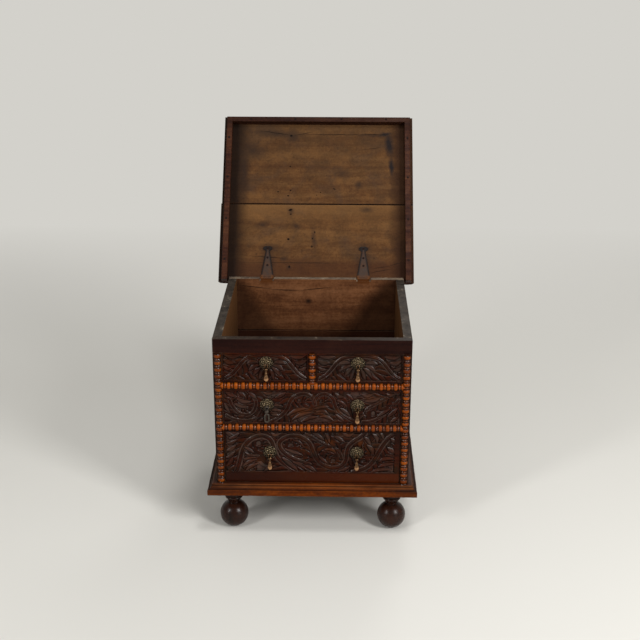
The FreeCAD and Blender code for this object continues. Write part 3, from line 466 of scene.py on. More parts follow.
def bead_profile(length, margin, pitch_near, radius, rng):
    """Radius and height along a string: a bead is 1 - 0.30 u^2.6 of the radius, a reel 0.86 - 0.11 u^2,
    with u from 0 in its middle to 1 at its end, and a groove lies between each two. The first and last
    beads stand at the margin, or half a pitch in where it is 0."""
    point_spacing, groove = 0.45 * MM, 0.63
    # Shares of the pitch
    bead_half, reel_half, groove_from, groove_to, slope = 0.305, 0.140, 0.290, 0.360, 0.015
    free = length - 2 * margin
    count = round(free / pitch_near) + (1 if margin > 0 else 0)
    pitch = free / (count - 1 if margin > 0 else count)
    first = margin if margin > 0 else pitch / 2
    h = np.arange(0, length + 1e-9, point_spacing)
    place = (h - first) / pitch
    turn = np.round(place)
    step = np.abs(place - turn)
    size = 1 + rng.uniform(-0.035, 0.01, count + 3)[np.clip(turn.astype(int) + 1, 0, count + 2)]
    bead = radius * size * (1 - 0.30 * np.clip(step / bead_half, 0, 1) ** 2.6)
    reel = radius * (0.86 - 0.11 * np.clip((0.5 - step) / reel_half, 0, 1) ** 2)
    blend = smooth_step((step - groove_from) / slope) * (1 - smooth_step((step - groove_to) / slope))
    r = np.where(step < (groove_from + groove_to) / 2, bead, reel)
    r = r * (1 - blend) + radius * groove * blend
    return np.stack([r, h], -1)


def bead_shell(node, along, margin, pitch, rng, point=0.0, foot_point=False):
    """Half-round string that lies on the front plane: a half circle of the profile's radius at each
    height. Pointed ends narrow across but keep their height. Dirt and painted shade lie in the grooves;
    painted shade darkens both sides and the underside of a level string; an upright string is darker all
    over, most on the left one; wear lies on the reels."""
    low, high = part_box(node)
    axis, cross = (0, 2) if along == "x" else (2, 0)
    length = high[axis] - low[axis]
    radius = (high[cross] - low[cross]) / 2
    middle = (low + high) / 2
    profile = bead_profile(length, margin, pitch, radius, rng)
    angle = np.linspace(0, math.pi, 22)
    r, h = profile[:, :1], profile[:, 1:]
    narrow = np.ones_like(h)
    if point > 0:
        narrow = np.clip(np.minimum(h, length - h) / point, 0.02, 1)
    if foot_point:
        narrow = np.clip(h / radius, 0.02, 1)
    across = r * np.cos(angle) * narrow
    out = np.broadcast_to(r * np.sin(angle), across.shape)
    run = np.broadcast_to(h, across.shape)
    front = np.full(across.shape, FRONT) - out
    if along == "x":
        grid = np.stack([low.x + run, front, middle.z + across], -1)
    else:
        grid = np.stack([middle.x + across, front, low.z + run], -1)
    share = (r / radius - 0.63) / 0.37
    # Dirt and painted shade in the grooves; painted shade down both sides and under a level string; an upright
    # string darker all over, most on the left one
    hollow = np.clip(1.16 - share * 1.5, 0, 1) + np.clip(0.74 - np.sin(angle), 0, 1) * 1.15
    if along == "x":
        hollow = hollow + np.clip(-np.cos(angle) - 0.25, 0, 1) * 0.6
    else:
        hollow = hollow + (0.44 if middle.x < -0.1 else 0.30)
    reel = np.broadcast_to((r > 0.765 * radius) & (r < 0.845 * radius), across.shape) & (np.sin(angle) > 0.2)
    return tube(grid, np.clip(hollow, 0, 1), reel.astype(float))


# Turned feet, mouldings, plates and drops


def foot_profile():
    """Radius and height of a foot: a ball on a worn flat with three scored lines, a neck that opens as
    t^1.8, a collar that swells as sin(pi t), and the tenon's block."""
    ball, flat, neck = 33.75, 8.9, 13.6
    centre = ball - 1.2
    neck_z = centre + math.sqrt(ball ** 2 - neck ** 2)
    turn = np.linspace(-math.pi / 2 + math.asin(flat / ball), math.pi / 2 - math.asin(neck / ball), 70)
    t, u = np.linspace(0.04, 1, 24), np.linspace(0, 1, 16)
    r = np.concatenate([ball * np.cos(turn), neck + 6.2 * t ** 1.8, 20.2 + 1.4 * np.sin(math.pi * u),
                        [19.8, 19.2, 19.2, 19.2]])
    h = np.concatenate([centre + ball * np.sin(turn), neck_z + (75.8 - neck_z) * t, 76.0 + 6.0 * u,
                        [82.1, 83.0, 100.0, 116.5]])
    score = sum(np.exp(-((h - z) / 0.5) ** 2) for z in (20.0, 32.6, 45.0))
    return np.stack([r - 0.45 * score, h], -1) * MM


def moulding(profile, start, finish, place, rng):
    """Bar with a closed section: section point k runs from start_k to finish_k, and wear shrinks its reach
    by 1 - wear * (half + two slow sines). Dirt and painted shade lie at the quirks, each (share of the
    reach, width), and wear on the rounds."""
    steps, wear, quirks, rounds = 160, 0.02, ((0.86, 0.09), (0.515, 0.03)), (0.60, 0.47)
    t = np.linspace(0, 1, steps)[:, None]
    a, b = start(profile), finish(profile)
    run = a[None, :] + t * (b - a)[None, :]
    phase = rng.uniform(0, 6.28, 3)
    wave = 1 - wear * (0.5 + 0.25 * np.sin(run * 61 + phase[0]) + 0.25 * np.sin(run * 137 + phase[1]))
    out = profile[None, :, 0] * wave
    up = np.broadcast_to(profile[None, :, 1], out.shape)
    grid = place(run, out, up)
    share = profile[:, 0] / profile[:, 0].max()
    top = profile[:, 1] > 0.5 * profile[:, 1].max()
    # Dirt and painted shade in the quirks of the top members
    dark = sum(np.exp(-((share - spot) / wide) ** 2) for spot, wide in quirks) * top
    light = sum(np.exp(-((share - spot) / 0.03) ** 2) for spot in rounds) * top
    return tube(grid, *(np.broadcast_to(np.clip(shade, 0, 1), out.shape) for shade in (dark, light)))


def rounded_section(corners, radius, steps=5):
    """Closed section with every corner rounded: each is replaced by a quadratic curve between its two
    sides."""
    c = np.asarray(corners, float)
    points = []
    for k in range(len(c)):
        a, b, d = c[k - 1], c[k], c[(k + 1) % len(c)]
        p = b + (a - b) * min(radius / np.linalg.norm(a - b), 0.45)
        q = b + (d - b) * min(radius / np.linalg.norm(d - b), 0.45)
        t = np.linspace(0, 1, steps)[:, None]
        points.append((1 - t) ** 2 * p + 2 * t * (1 - t) * b + t ** 2 * q)
    return np.vstack(points)


def plinth_section():
    """Section of the plinth moulding as (out, up): a broad square member and three small rounds between
    quirks."""
    w, h = 21.0, 26.5
    shares = [(0, 0), (0.94, 0), (1, 0.05), (1, 0.50), (0.965, 0.575), (0.88, 0.60), (0.82, 0.60),
              (0.80, 0.53), (0.78, 0.60), (0.72, 0.67), (0.665, 0.69), (0.645, 0.62), (0.625, 0.69),
              (0.585, 0.79), (0.535, 0.84), (0.515, 0.77), (0.50, 0.85), (0.49, 0.95), (0.44, 1), (0, 1)]
    return rounded_section([(w * out, h * up) for out, up in shares], radius=0.7, steps=4) * MM


def plate_shell(centre, radius):
    """Pressed rosette on a sunk ground: a rim of twenty-four pearls, seven loops whose centres lie at 0.61
    of the radius, each with a bud in it, a beaded ring at 0.36 and a boss; the outline has fourteen
    shallow scallops. Each ridge is exp(-((distance - place) / width)^2). Its ridges are rubbed brighter,
    least on the boss, and they are brighter on the upper half as painted highlight and darker on the lower
    half as painted shade."""
    r = np.concatenate([[0.004], np.linspace(0.05, 1, 60)])[:, None]
    a = np.linspace(0, 2 * math.pi, 240, endpoint=False)[None, :]
    sector = 2 * math.pi / 7
    folded = (a + sector / 2) % sector - sector / 2
    loop = np.hypot(r * np.cos(folded) - 0.61, r * np.sin(folded) * 0.92)
    ridge = np.exp(-((loop - 0.185) / 0.042) ** 2) + 0.9 * np.exp(-(loop / 0.055) ** 2)
    pearls = (0.55 + 0.45 * np.cos(24 * a)) * np.exp(-((r - 0.91) / 0.055) ** 2)
    ring = (0.7 + 0.3 * np.cos(14 * a)) * np.exp(-((r - 0.36) / 0.045) ** 2)
    boss = smooth_step((0.27 - r) / 0.10)
    height = 0.42 + 1.25 * ridge + 1.35 * pearls + 1.5 * ring + 2.2 * boss
    height = np.clip(height, 0.35, 3.0) * smooth_step((1.0 - r) / 0.02 + 0.35)
    size = radius * (1 - 0.020 * (1 - np.cos(14 * a)) * smooth_step((r - 0.8) / 0.2))
    x = centre[0] + r * size * np.sin(a)
    z = centre[2] + r * size * np.cos(a)
    front = np.stack([x, centre[1] - height * MM, z], -1)
    back = np.stack([x[-1:], np.full(x[-1:].shape, centre[1]), z[-1:]], -1)
    # Painted light: the rubbed ridges are brighter on the upper half and darker on the lower half
    painted_top_light = 0.35 + 0.65 * smooth_step(0.45 + 0.8 * r * np.cos(a))
    shades = (np.clip(1.35 - height, 0, 1), np.clip((height - 1.35) * 1.6, 0, 1) * painted_top_light * (1 - 0.6 * boss))
    return tube(np.concatenate([front, back]), *(np.concatenate([shade, 0 * x[-1:]]) for shade in shades))


def drop_profile():
    """Radius and height below the ring's centre of a drop: the smooth curve through marks on its flared
    neck, its waist and its pear-shaped bulb."""
    marks = np.array([(0.5, -4.3), (2.6, -4.5), (4.2, -5.0), (5.0, -6.2), (5.15, -7.6), (4.7, -9.4),
                      (3.6, -11.6), (2.95, -14.2), (2.85, -16.0), (3.2, -18.6), (4.1, -21.8), (5.3, -25.4),
                      (6.2, -28.6), (6.45, -31.0), (6.1, -33.4), (4.9, -35.8), (3.0, -37.0), (1.2, -37.3),
                      (0.3, -37.38)])
    return curve_through(marks, steps=6) * MM


def links_from(node):
    """Centre of a drop's ring: the top of the node's box less the ring's outer radius, and the middle
    across."""
    low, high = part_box(node)
    return Vector(((low.x + high.x) / 2, (low.y + high.y) / 2, high.z - sum(RING)))


# Materials


def linear(code):
    """Linear colour of an sRGB hex code."""
    value = np.array([int(code[k:k + 2], 16) for k in (1, 3, 5)]) / 255
    value = np.where(value <= 0.04045, value / 12.92, ((value + 0.055) / 1.055) ** 2.4)
    return (*value.tolist(), 1.0)


def add(tree, kind, sockets=None, out=0, **settings):
    """New node: settings are its properties, and each of its inputs in sockets is linked to a socket or
    set to a value or hex colour. Gives one of its outputs, or all where out is None."""
    node = tree.nodes.new("ShaderNode" + kind)
    for key, value in settings.items():
        setattr(node, key, value)
    for key, value in (sockets or {}).items():
        if isinstance(value, bpy.types.NodeSocket):
            tree.links.new(value, node.inputs[key])
        else:
            node.inputs[key].default_value = linear(value) if isinstance(value, str) else value
    return node.outputs if out is None else node.outputs[out]


def new_material(name):
    """Empty node material, with the outputs of its object coordinates."""
    material = bpy.data.materials.new(name)
    material.use_nodes = True
    tree = material.node_tree
    tree.nodes.clear()
    return material, tree, add(tree, "TexCoord", out=None)


def overlap(tree, *masks):
    """Product of masks. A mask is a socket, or (value, low, high, least, most): least where the value is
    low, most where it is high and a share between. Least and most are 0 and 1 where they aren't given."""
    whole = None
    for mask in masks:
        if isinstance(mask, tuple):
            mask = add(tree, "MapRange", dict(enumerate(mask)))
        if whole is None:
            whole = mask
        else:
            whole = add(tree, "Math", {0: whole, 1: mask}, operation="MULTIPLY", use_clamp=True)
    return whole


def painted(tree, colour, *coats):
    """Colour under coats laid over it in turn. A coat is its colour and the masks whose overlap it covers."""
    for coat, *masks in coats:
        colour = add(tree, "Mix", {0: overlap(tree, *masks), 6: colour, 7: coat}, 2, data_type="RGBA")
    return colour


def facing(tree, axes, direction, low=0.4, high=0.7):
    """1 where the surface faces a direction in the piece's own axes."""
    dot = add(tree, "VectorMath", {0: axes["Normal"], 1: direction}, "Value", operation="DOT_PRODUCT")
    return overlap(tree, (dot, low, high))


def near_marks(tree, place, marks, soft=0.35):
    """1 inside any of a list of ovals, each (centre, half length, half width, turn in degrees) in
    millimetres, fading from the share soft of its size to its edge."""
    least = None
    for (cx, cy), long, wide, turn in marks:
        a = math.radians(turn)
        scale = (1 / (long * MM), 1 / (wide * MM), 1.0)
        shift = (-(cx * math.cos(a) + cy * math.sin(a)) / long,
                 -(cy * math.cos(a) - cx * math.sin(a)) / wide, 0)
        turned = add(tree, "Mapping", {0: place, "Rotation": (0, 0, -a)})
        oval = add(tree, "Mapping", {0: turned, "Scale": scale, "Location": shift})
        far = add(tree, "VectorMath", {0: oval}, "Value", operation="LENGTH")
        least = far if least is None else add(tree, "Math", {0: least, 1: far}, operation="MINIMUM")
    return overlap(tree, (least, soft, 1.0, 1.0, 0.0))


def wood(name, axis, tones, *, dirt_and_shade="#0E0705", wear="#7A604A", wear_amount=0.5, edge=0.5, roughness=0.5,
         shine=0.2, patches="#2A140C", patch_amount=0.35, streaks=1.0, bump=0.5, dust_and_sheen=0.0, waxed=0.0,
         gloss=0.07, paint=None):
    """Wood with its grain along an axis: streaks and broad figure between three tones, open pores, slow
    patches, dirt and painted shade where the attribute hollow is high, rubbed wood on edges, and rubbed wood
    with painted highlight where the wear attribute is high. Dust with painted sheen lies on what faces up and
    a little forwards, and waxed wood has a clear coat where the wear attribute is high."""
    material, tree, axes = new_material(name)
    place = axes["Object"]

    def stretched(along, across, detail, rough, distortion=0.0):
        scale = tuple(along if letter == axis else across for letter in "xyz")
        point = add(tree, "Mapping", {0: place, "Scale": scale})
        return add(tree, "TexNoise", {0: point, "Scale": 1.0, "Detail": detail, "Roughness": rough,
                                      "Distortion": distortion})

    # Scales are cells in a metre: streaks 7 mm across with finer ones in them, figure of 50 mm, patches of
    # 77 mm, mottle of 6 mm. Pores are 0.8 mm across, two or three times the real ones, so that they show.
    streak = stretched(6, 150, 8.0, 0.66, 0.4)
    broad = stretched(2.2, 19, 4.0, 0.55, 1.5)
    pore = stretched(70, 1300, 2.0, 0.5)
    patch = add(tree, "TexNoise", {0: place, "Scale": 13.0, "Detail": 5.0, "Roughness": 0.62,
                                   "Distortion": 0.7})
    mottle = add(tree, "TexNoise", {0: place, "Scale": 170.0, "Detail": 3.0, "Roughness": 0.6})
    tone = add(tree, "Math", {0: streak, 1: 0.45 * streaks, 2: 0.3 - 0.225 * streaks},
               operation="MULTIPLY_ADD")
    for figure, share in ((broad, 0.4), (mottle, 0.24)):
        tone = add(tree, "Math", {0: figure, 1: share, 2: tone}, operation="MULTIPLY_ADD")
    pores = overlap(tree, (pore, 0.60, 0.72, 0.0, 0.5))
    colour = painted(tree, tones[0], (tones[1], (tone, 0.50, 0.62)), (tones[2], (tone, 0.60, 0.76)),
                     (patches, (patch, 0.47, 0.68, 0.0, patch_amount)), (dirt_and_shade, pores))
    if paint:
        colour = paint(tree, axes, colour)
    # Dust on what faces up and a little forwards, in the wear colour, laid also as painted sheen
    if dust_and_sheen:
        colour = painted(tree, colour, (wear, facing(tree, axes, (0, -0.35, 1.0), 0.45, 1.0),
                                        (patch, 0.35, 0.6, 0.3), (mottle, 0.3, 0.6, 0.5 * dust_and_sheen, dust_and_sheen)))
    hollow = add(tree, "Attribute", out="Fac", attribute_name="hollow")
    wear_and_highlight = add(tree, "Attribute", out="Fac", attribute_name="wear_and_highlight")
    soft = add(tree, "Bevel", {"Radius": 0.0013}, samples=4)
    true = add(tree, "NewGeometry", out="Normal")
    same = add(tree, "VectorMath", {0: soft, 1: true}, "Value", operation="DOT_PRODUCT")
    edges = overlap(tree, (same, 0.995, 0.80, 0.0, edge))
    rub = add(tree, "Math", {0: wear_and_highlight, 1: wear_amount, 2: edges}, operation="MULTIPLY_ADD")
    # Dirt and painted shade where the attribute hollow is high; rubbed wood, with painted highlight, where the
    # wear attribute is high
    colour = painted(tree, colour, (dirt_and_shade, (hollow, 0.05, 0.95, 0.0, 0.92)),
                     (wear, rub, (patch, 0.36, 0.62, 0.2)))
    height = add(tree, "Math", {0: pores, 1: -0.8, 2: streak}, operation="MULTIPLY_ADD")
    shader = {
        "Base Color": colour, "IOR": 1.5, "Specular IOR Level": shine, "Coat Roughness": gloss,
        "Coat IOR": 1.6, "Roughness": overlap(tree, (patch, 0.3, 0.7, roughness - 0.08, roughness + 0.14)),
        "Normal": add(tree, "Bump", {"Strength": bump, "Distance": 0.0005, "Height": height, "Normal": soft}),
    }
    if waxed:
        shader["Coat Weight"] = overlap(tree, (wear_and_highlight, 0.0, 1.0, 0.0, waxed), (patch, 0.40, 0.56, 0.25))
    add(tree, "OutputMaterial", {0: add(tree, "BsdfPrincipled", shader)}, None)
    return material


def metal(name, base, tarnish, *, rubbed_and_highlight=None, dirt_and_shade="#1C140A", roughness=0.3, amount=0.5, scale=120.0,
          bump=0.2, metallic=1.0, shine=0.5, paint=None):
    """Cast, pressed or forged metal: tarnish in patches, dirt and painted shade where the attribute hollow is
    high, and rubbed metal with painted highlight where the wear attribute is high. Patches are 3 to 11 mm and
    grit, a ninth of that, is drawn coarser than real."""
    material, tree, axes = new_material(name)
    patch = add(tree, "TexNoise", {0: axes["Object"], "Scale": scale, "Detail": 5.0, "Roughness": 0.65})
    grit = add(tree, "TexNoise", {0: axes["Object"], "Scale": scale * 9, "Detail": 3.0, "Roughness": 0.6})
    hollow = add(tree, "Attribute", out="Fac", attribute_name="hollow")
    wear_and_highlight = add(tree, "Attribute", out="Fac", attribute_name="wear_and_highlight")
    colour = painted(tree, base, (tarnish, (patch, 0.38, 0.66, 0.0, amount)), (dirt_and_shade, hollow),
                     (rubbed_and_highlight or base, wear_and_highlight))
    if paint:
        colour = paint(tree, axes, colour)
    shader = add(tree, "BsdfPrincipled", {
        "Base Color": colour, "Metallic": metallic, "Specular IOR Level": shine,
        "Roughness": overlap(tree, (patch, 0.3, 0.7, roughness * 0.75, roughness * 1.35)),
        "Normal": add(tree, "Bump", {"Strength": bump, "Distance": 0.0003, "Height": grit})})
    add(tree, "OutputMaterial", {0: shader}, None)
    return material


# Marks and shades laid over wood and metal, all in metres from the object's origin


def dry_rim(tree, axes, colour, dark="#1F1A16", pale="#443C34"):
    """Upward faces at the rim's height: bare oak gone grey, with pale chips in patches of 20 mm."""
    chips = add(tree, "TexNoise", {0: axes["Object"], "Scale": 45.0, "Detail": 6.0, "Roughness": 0.7})
    grey = painted(tree, dark, (pale, (chips, 0.35, 0.65)), ("#8F8472", (chips, 0.62, 0.68, 0.0, 0.8)))
    height = add(tree, "SeparateXYZ", {0: axes["Object"]}, "Z")
    return painted(tree, colour, (grey, facing(tree, axes, (0, 0, 1), 0.5, 0.9), (height, 0.486, 0.488)))


def rail_rim(tree, axes, colour):
    """Top rail: its upper edge is handled, so it is browner and darker than the other edges."""
    return dry_rim(tree, axes, colour, "#17100C", "#33271E")


def side_faces(tree, axes, colour):
    """Sides: dry brown oak within the box, with painted shade that darkens it towards its floor, more on
    the left side; dark wax outside, and a grey rim. A face looks inwards where its x times its normal's x
    is below zero."""
    x, _, z = add(tree, "SeparateXYZ", {0: axes["Object"]}, None)
    turned = add(tree, "SeparateXYZ", {0: axes["Normal"]}, "X")
    inward = add(tree, "Math", {0: x, 1: turned}, operation="MULTIPLY")
    # Inside faces: dry brown, then painted shade towards the floor, stronger on the left side
    colour = painted(tree, colour, ("#644326", (inward, -0.12, -0.06, 0.66, 0.0)),
                     ("#1E0F08", (inward, -0.12, -0.06, 1.0, 0.0), (z, 0.48, 0.31, 0.0, 0.75),
                      (x, -0.05, 0.05, 1.0, 0.55)))
    return dry_rim(tree, axes, colour)


def from_hinge(tree, across):
    """Distance along X to the middle of the nearer hinge."""
    aside = []
    for x in HINGE_X:
        off = add(tree, "Math", {0: across, 1: x}, operation="SUBTRACT")
        aside.append(add(tree, "Math", {0: off}, operation="ABSOLUTE"))
    return add(tree, "Math", {0: aside[0], 1: aside[1]}, operation="MINIMUM")


def back_faces(tree, axes, colour):
    """Boards inside the box and its back: inside, a crack near the top, painted shade that darkens them
    downwards and into the lower corners, a dark joint between the boards, and painted shade that turns the
    floor near black; outside, grey-brown bare oak with streaks 10 mm across and blots of 140 mm; orange in the
    hinges' notches, rust with a painted glint."""
    x, _, z = add(tree, "SeparateXYZ", {0: axes["Object"]}, None)
    inside = facing(tree, axes, (0, -1, 0))
    plane = add(tree, "CombineXYZ", {0: x, 1: z})
    side = add(tree, "Math", {0: add(tree, "Math", {0: x, 1: 0.012}, operation="ADD")}, operation="ABSOLUTE")
    corner = add(tree, "Math", {0: z, 1: -0.62, 2: side}, operation="MULTIPLY_ADD")
    # Inside: a crack; painted shade downwards and into the lower corners; a dark joint between the boards; painted
    # shade on the floor
    colour = painted(
        tree, colour, ("#21130B", near_marks(tree, plane, BACK_CRACK, soft=0.2), inside),
        ("#2C130A", (z, 0.45, 0.31, 0.0, 0.35)), ("#22120A", (corner, -0.146, -0.110, 0.0, 0.66)),
        ("#1C0805", (z, 0.3602, 0.3592, 0.0, 0.62), inside), ("#140504", (z, 0.302, 0.2905, 0.0, 0.72)))
    long = add(tree, "Mapping", {0: axes["Object"], "Scale": (3.0, 95.0, 95.0)})
    rough = add(tree, "TexNoise", {0: long, "Scale": 1.0, "Detail": 7.0, "Roughness": 0.65,
                                   "Distortion": 0.8})
    blot = add(tree, "TexNoise", {0: axes["Object"], "Scale": 7.0, "Detail": 4.0})
    bare = painted(tree, "#54463A", ("#6F5E4C", (rough, 0.36, 0.62)),
                   ("#42342A", (blot, 0.48, 0.66, 0.0, 0.5)))
    bare = add(tree, "Mix", {0: 0.85, 6: colour, 7: bare}, 2, data_type="RGBA")
    colour = painted(tree, colour, (bare, facing(tree, axes, (0, 1, 0))))
    colour = dry_rim(tree, axes, colour, "#4B4038", "#7E6E5C")
    # Orange in the hinges' notches: rust with a painted glint
    return painted(tree, colour, ("#4E2A10", (from_hinge(tree, x), 0.0165, 0.0145), (z, 0.4998, 0.4990),
                                  (z, 0.484, 0.494)))


def up_lid(tree, axes):
    """Distance up the open lid from its hinge."""
    shifted = add(tree, "VectorMath", {0: axes["Object"], 1: LID_AXIS}, operation="SUBTRACT")
    return add(tree, "VectorMath", {0: shifted, 1: LID_UP}, "Value", operation="DOT_PRODUCT")


def lid_faces(tree, axes, colour):
    """Lid: its underside is clouded and speckled, with stains, nail holes and cracks, darker near the
    hinges, with painted shadows of the side strips along both sides; its outside and its edges are waxed
    dark. Clouds are 40 mm and specks 9 mm."""
    up = up_lid(tree, axes)
    across = add(tree, "SeparateXYZ", {0: axes["Object"]}, "X")
    plane = add(tree, "CombineXYZ", {0: across, 1: up})
    shake = add(tree, "TexNoise", {0: plane, "Scale": 60.0, "Detail": 4.0, "Roughness": 0.6}, "Color")
    shaken = []
    for reach in ((0.010, 0.010, 0.0), (0.0, 0.004, 0.0)):
        moved = add(tree, "VectorMath", {0: shake, 1: reach, 2: plane}, operation="MULTIPLY_ADD")
        half = tuple(value / 2 for value in reach)
        shaken.append(add(tree, "VectorMath", {0: moved, 1: half}, operation="SUBTRACT"))
    ragged, slight = shaken
    cloud = add(tree, "TexNoise", {0: plane, "Scale": 24.0, "Detail": 6.0, "Roughness": 0.62})
    speck = add(tree, "TexNoise", {0: plane, "Scale": 110.0, "Detail": 4.0, "Roughness": 0.7})
    wavy_up = add(tree, "Math", {0: cloud, 1: 0.03, 2: up}, operation="MULTIPLY_ADD")
    wavy_across = add(tree, "Math", {0: cloud, 1: 0.02, 2: across}, operation="MULTIPLY_ADD")
    joint = add(tree, "Math", {0: up, 1: 0.2062, 2: 0.0016}, operation="COMPARE")
    colour = painted(
        tree, colour, ("#3A2818", (cloud, 0.46, 0.66, 0.0, 0.42)),
        ("#6E4A28", (cloud, 0.46, 0.34, 0.0, 0.35)),
        ("#271A12", (speck, 0.56, 0.70, 0.0, 0.5)), ("#3C1F12", (wavy_up, 0.074, 0.052, 0.0, 0.62)),
        ("#7E5A34", (up, 0.150, 0.206, 0.0, 0.45), (up, 0.208, 0.207)),
        ("#382A1C", (up, 0.230, 0.420, 0.1, 0.36)),
        # Painted shadows of the side strips along both edges of the underside
        ("#150D0A", (wavy_across, -0.168, -0.204, 0.0, 0.9)),
        ("#24130C", (wavy_across, 0.196, 0.222, 0.0, 0.72)),
        ("#261D19", (near_marks(tree, ragged, LID_STAINS, soft=0.1), 0.0, 1.0, 0.0, 0.66)),
        ("#16171A", (near_marks(tree, ragged, LID_SMEAR, soft=0.3), 0.0, 1.0, 0.0, 0.85)),
        ("#150E0A", (near_marks(tree, slight, LID_LINES, soft=0.3), 0.0, 1.0, 0.0, 0.85)),
        ("#0C0806", near_marks(tree, plane, LID_HOLES, soft=0.55)), ("#080504", joint))
    waxed = add(tree, "Mix", {0: 0.8, 6: colour, 7: "#3A1C12"}, 2, data_type="RGBA")
    return painted(tree, waxed, (colour, facing(tree, axes, LID_FACE)))


def hinge_marks(tree, axes, colour):
    """Hinges: black along the tapering edges of the straps, and orange where they turn over the rim, rust
    with a painted glint.
    """
    x, _, z = add(tree, "SeparateXYZ", {0: axes["Object"]}, None)
    near = from_hinge(tree, x)
    edge = add(tree, "Math", {0: up_lid(tree, axes), 1: 0.169, 2: near}, operation="MULTIPLY_ADD")
    return painted(tree, colour, ("#0D0807", (edge, 0.0125, 0.0160, 0.0, 0.9)),
                   ("#6E3F16", (z, 0.486, 0.492), (z, 0.503, 0.498, 0.0, 0.6), (near, 0.009, 0.013, 0.3)))


def ring_eye_shade(tree, axes, colour):
    """Pulls: black painted shade in the eye of each drop, where it hangs in its loop."""
    x, _, z = add(tree, "SeparateXYZ", {0: axes["Object"]}, None)
    eyes = [((centre.x / MM, centre.z / MM), 3.5, 3.5, 0) for centre in map(links_from, DROPS)]
    plane = add(tree, "CombineXYZ", {0: x, 1: z})
    return painted(tree, colour, ("#050302", near_marks(tree, plane, eyes, soft=0.75)))


def carving_shades(tree, axes, colour):
    """Carving: warm patches of 40 mm where hands have rubbed the wax thin, greener ones of 20 mm where it
    is thick, and rubbed spots; below it the drawer's plain strip is redder."""
    x, _, z = add(tree, "SeparateXYZ", {0: axes["Object"]}, None)
    below = add(tree, "Math", {0: z, 1: RIM}, operation="SUBTRACT")
    plane = add(tree, "CombineXYZ", {0: x, 1: below})
    slow = add(tree, "TexNoise", {0: plane, "Scale": 24.0, "Detail": 3.0})
    quick = add(tree, "TexNoise", {0: plane, "Scale": 47.0, "Detail": 2.0})
    strip = painted(tree, "#240B04", ("#421803", (x, -0.16, 0.12)))
    return painted(
        tree, colour, ("#351803", (slow, 0.50, 0.64, 0.0, 0.5)), ("#19120A", (quick, 0.55, 0.67, 0.0, 0.5)),
        ("#4A2205", near_marks(tree, plane, RUBBED_SPOTS, soft=0.1), (quick, 0.35, 0.6, 0.3, 0.85)),
        (strip, (z, 0.160, 0.163, 0.75, 0.0)))


def plinth_wear(tree, axes, colour):
    """The plinth: dark old wax towards its ends and on its upper members, warm rubbed wood in the middle."""
    middle = add(tree, "Mapping", {0: axes["Object"], "Scale": (4.6, 0, 0), "Location": (-0.1, 0, 0)})
    far = add(tree, "VectorMath", {0: middle}, "Value", operation="LENGTH")
    height = add(tree, "SeparateXYZ", {0: axes["Object"]}, "Z")
    return painted(tree, colour, ("#2A130B", (far, 0.45, 1.15, 0.0, 0.5)),
                   ("#2A140C", (height, 0.1245, 0.1265), (far, 0.30, 0.9, 0.28, 0.85)))


def lip_shade(tree, axes, colour):
    """Strips round the lid: painted shade on the strip furthest from the hinges."""
    height = add(tree, "SeparateXYZ", {0: axes["Object"]}, "Z")
    return painted(tree, colour, ("#180B07", (height, LIP_LOW - 0.008, LIP_LOW + 0.004, 0.0, 0.45)))


LEAN = math.radians(37.0)
LID_UP = (0.0, math.sin(LEAN), math.cos(LEAN))
LID_FACE = (0.0, -math.cos(LEAN), math.sin(LEAN))
LID_AXIS = next(joint["pos_m"] for joint in frame["joints"] if joint["name"] == "lid_hinge")
LIP_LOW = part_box("lid_lip_front")[0].z
HINGE_X = [sum(corner.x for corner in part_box(name)) / 2 for name in ("hinge_strap_left", "hinge_strap_right")]
DROPS = [row["node"] for row in frame["record"]["subparts"] if row["node"].startswith("drop_")]
# Marks: ((across, up), half length, half width, turn in degrees), in millimetres
LID_HOLES = [
    ((8, 240), 2.2, 2.0, 0), ((-2, 232), 1.8, 1.8, 0), ((-74, 314), 2.6, 2.6, 0), ((-105, 241), 3.6, 2.0, 10),
    ((-72, 245), 2.8, 2.4, 0), ((-78, 230), 3.2, 2.6, 0), ((-71, 190), 6.5, 3.6, 15),
    ((-70, 178), 2.8, 2.6, 0), ((-75, 108), 4.2, 3.6, 0), ((-71, 32), 3.0, 4.0, 0),
    ((-73, 403), 4.5, 3.0, 0), ((-13, 88), 2.4, 4.0, 0), ((-6, 128), 2.0, 3.5, 0), ((-12, 110), 1.8, 3.0, 0),
    ((44, 250), 5.0, 1.6, -20),
]
LID_LINES = [
    ((-115, 411), 50, 1.6, -8), ((-40, 409), 34, 1.5, 12), ((60, 407), 125, 1.5, 0), ((165, 22), 40, 1.2, 12),
    ((165, 31), 30, 1.0, 9), ((205, 41), 26, 1.0, 15), ((140, 366), 44, 0.9, 8), ((-50, 43), 175, 1.2, 0),
    ((150, 408), 45, 1.8, -1), ((-130, 58), 60, 1.4, -3),
]
LID_STAINS = [
    ((-125, 82), 34, 18, 0), ((123, 84), 24, 16, 0), ((-125, 40), 25, 60, 0), ((123, 40), 25, 60, 0),
    ((-174, 358), 48, 32, 0), ((66, 296), 30, 22, 0), ((110, 262), 16, 16, 0), ((130, 192), 24, 11, 0),
    ((-144, 148), 28, 14, 20), ((-55, 144), 16, 12, 0), ((-87, 54), 14, 8, 0), ((-68, 400), 24, 24, 0),
    ((-105, 407), 95, 15, -4), ((-70, 185), 13, 16, 0), ((-8, 110), 9, 40, 6), ((150, 404), 60, 6, -2),
    ((-196, 300), 18, 110, 0), ((-73, 30), 8, 10, 0),
]
LID_SMEAR = [((190, 378), 15, 44, 5), ((196, 314), 8, 32, 2), ((180, 408), 22, 8, 0)]
BACK_CRACK = [((-160, 478), 60, 1.7, -7), ((-80, 470), 50, 2.0, -2), ((0, 474), 55, 1.7, 7),
              ((-20, 440), 12, 9, 0)]
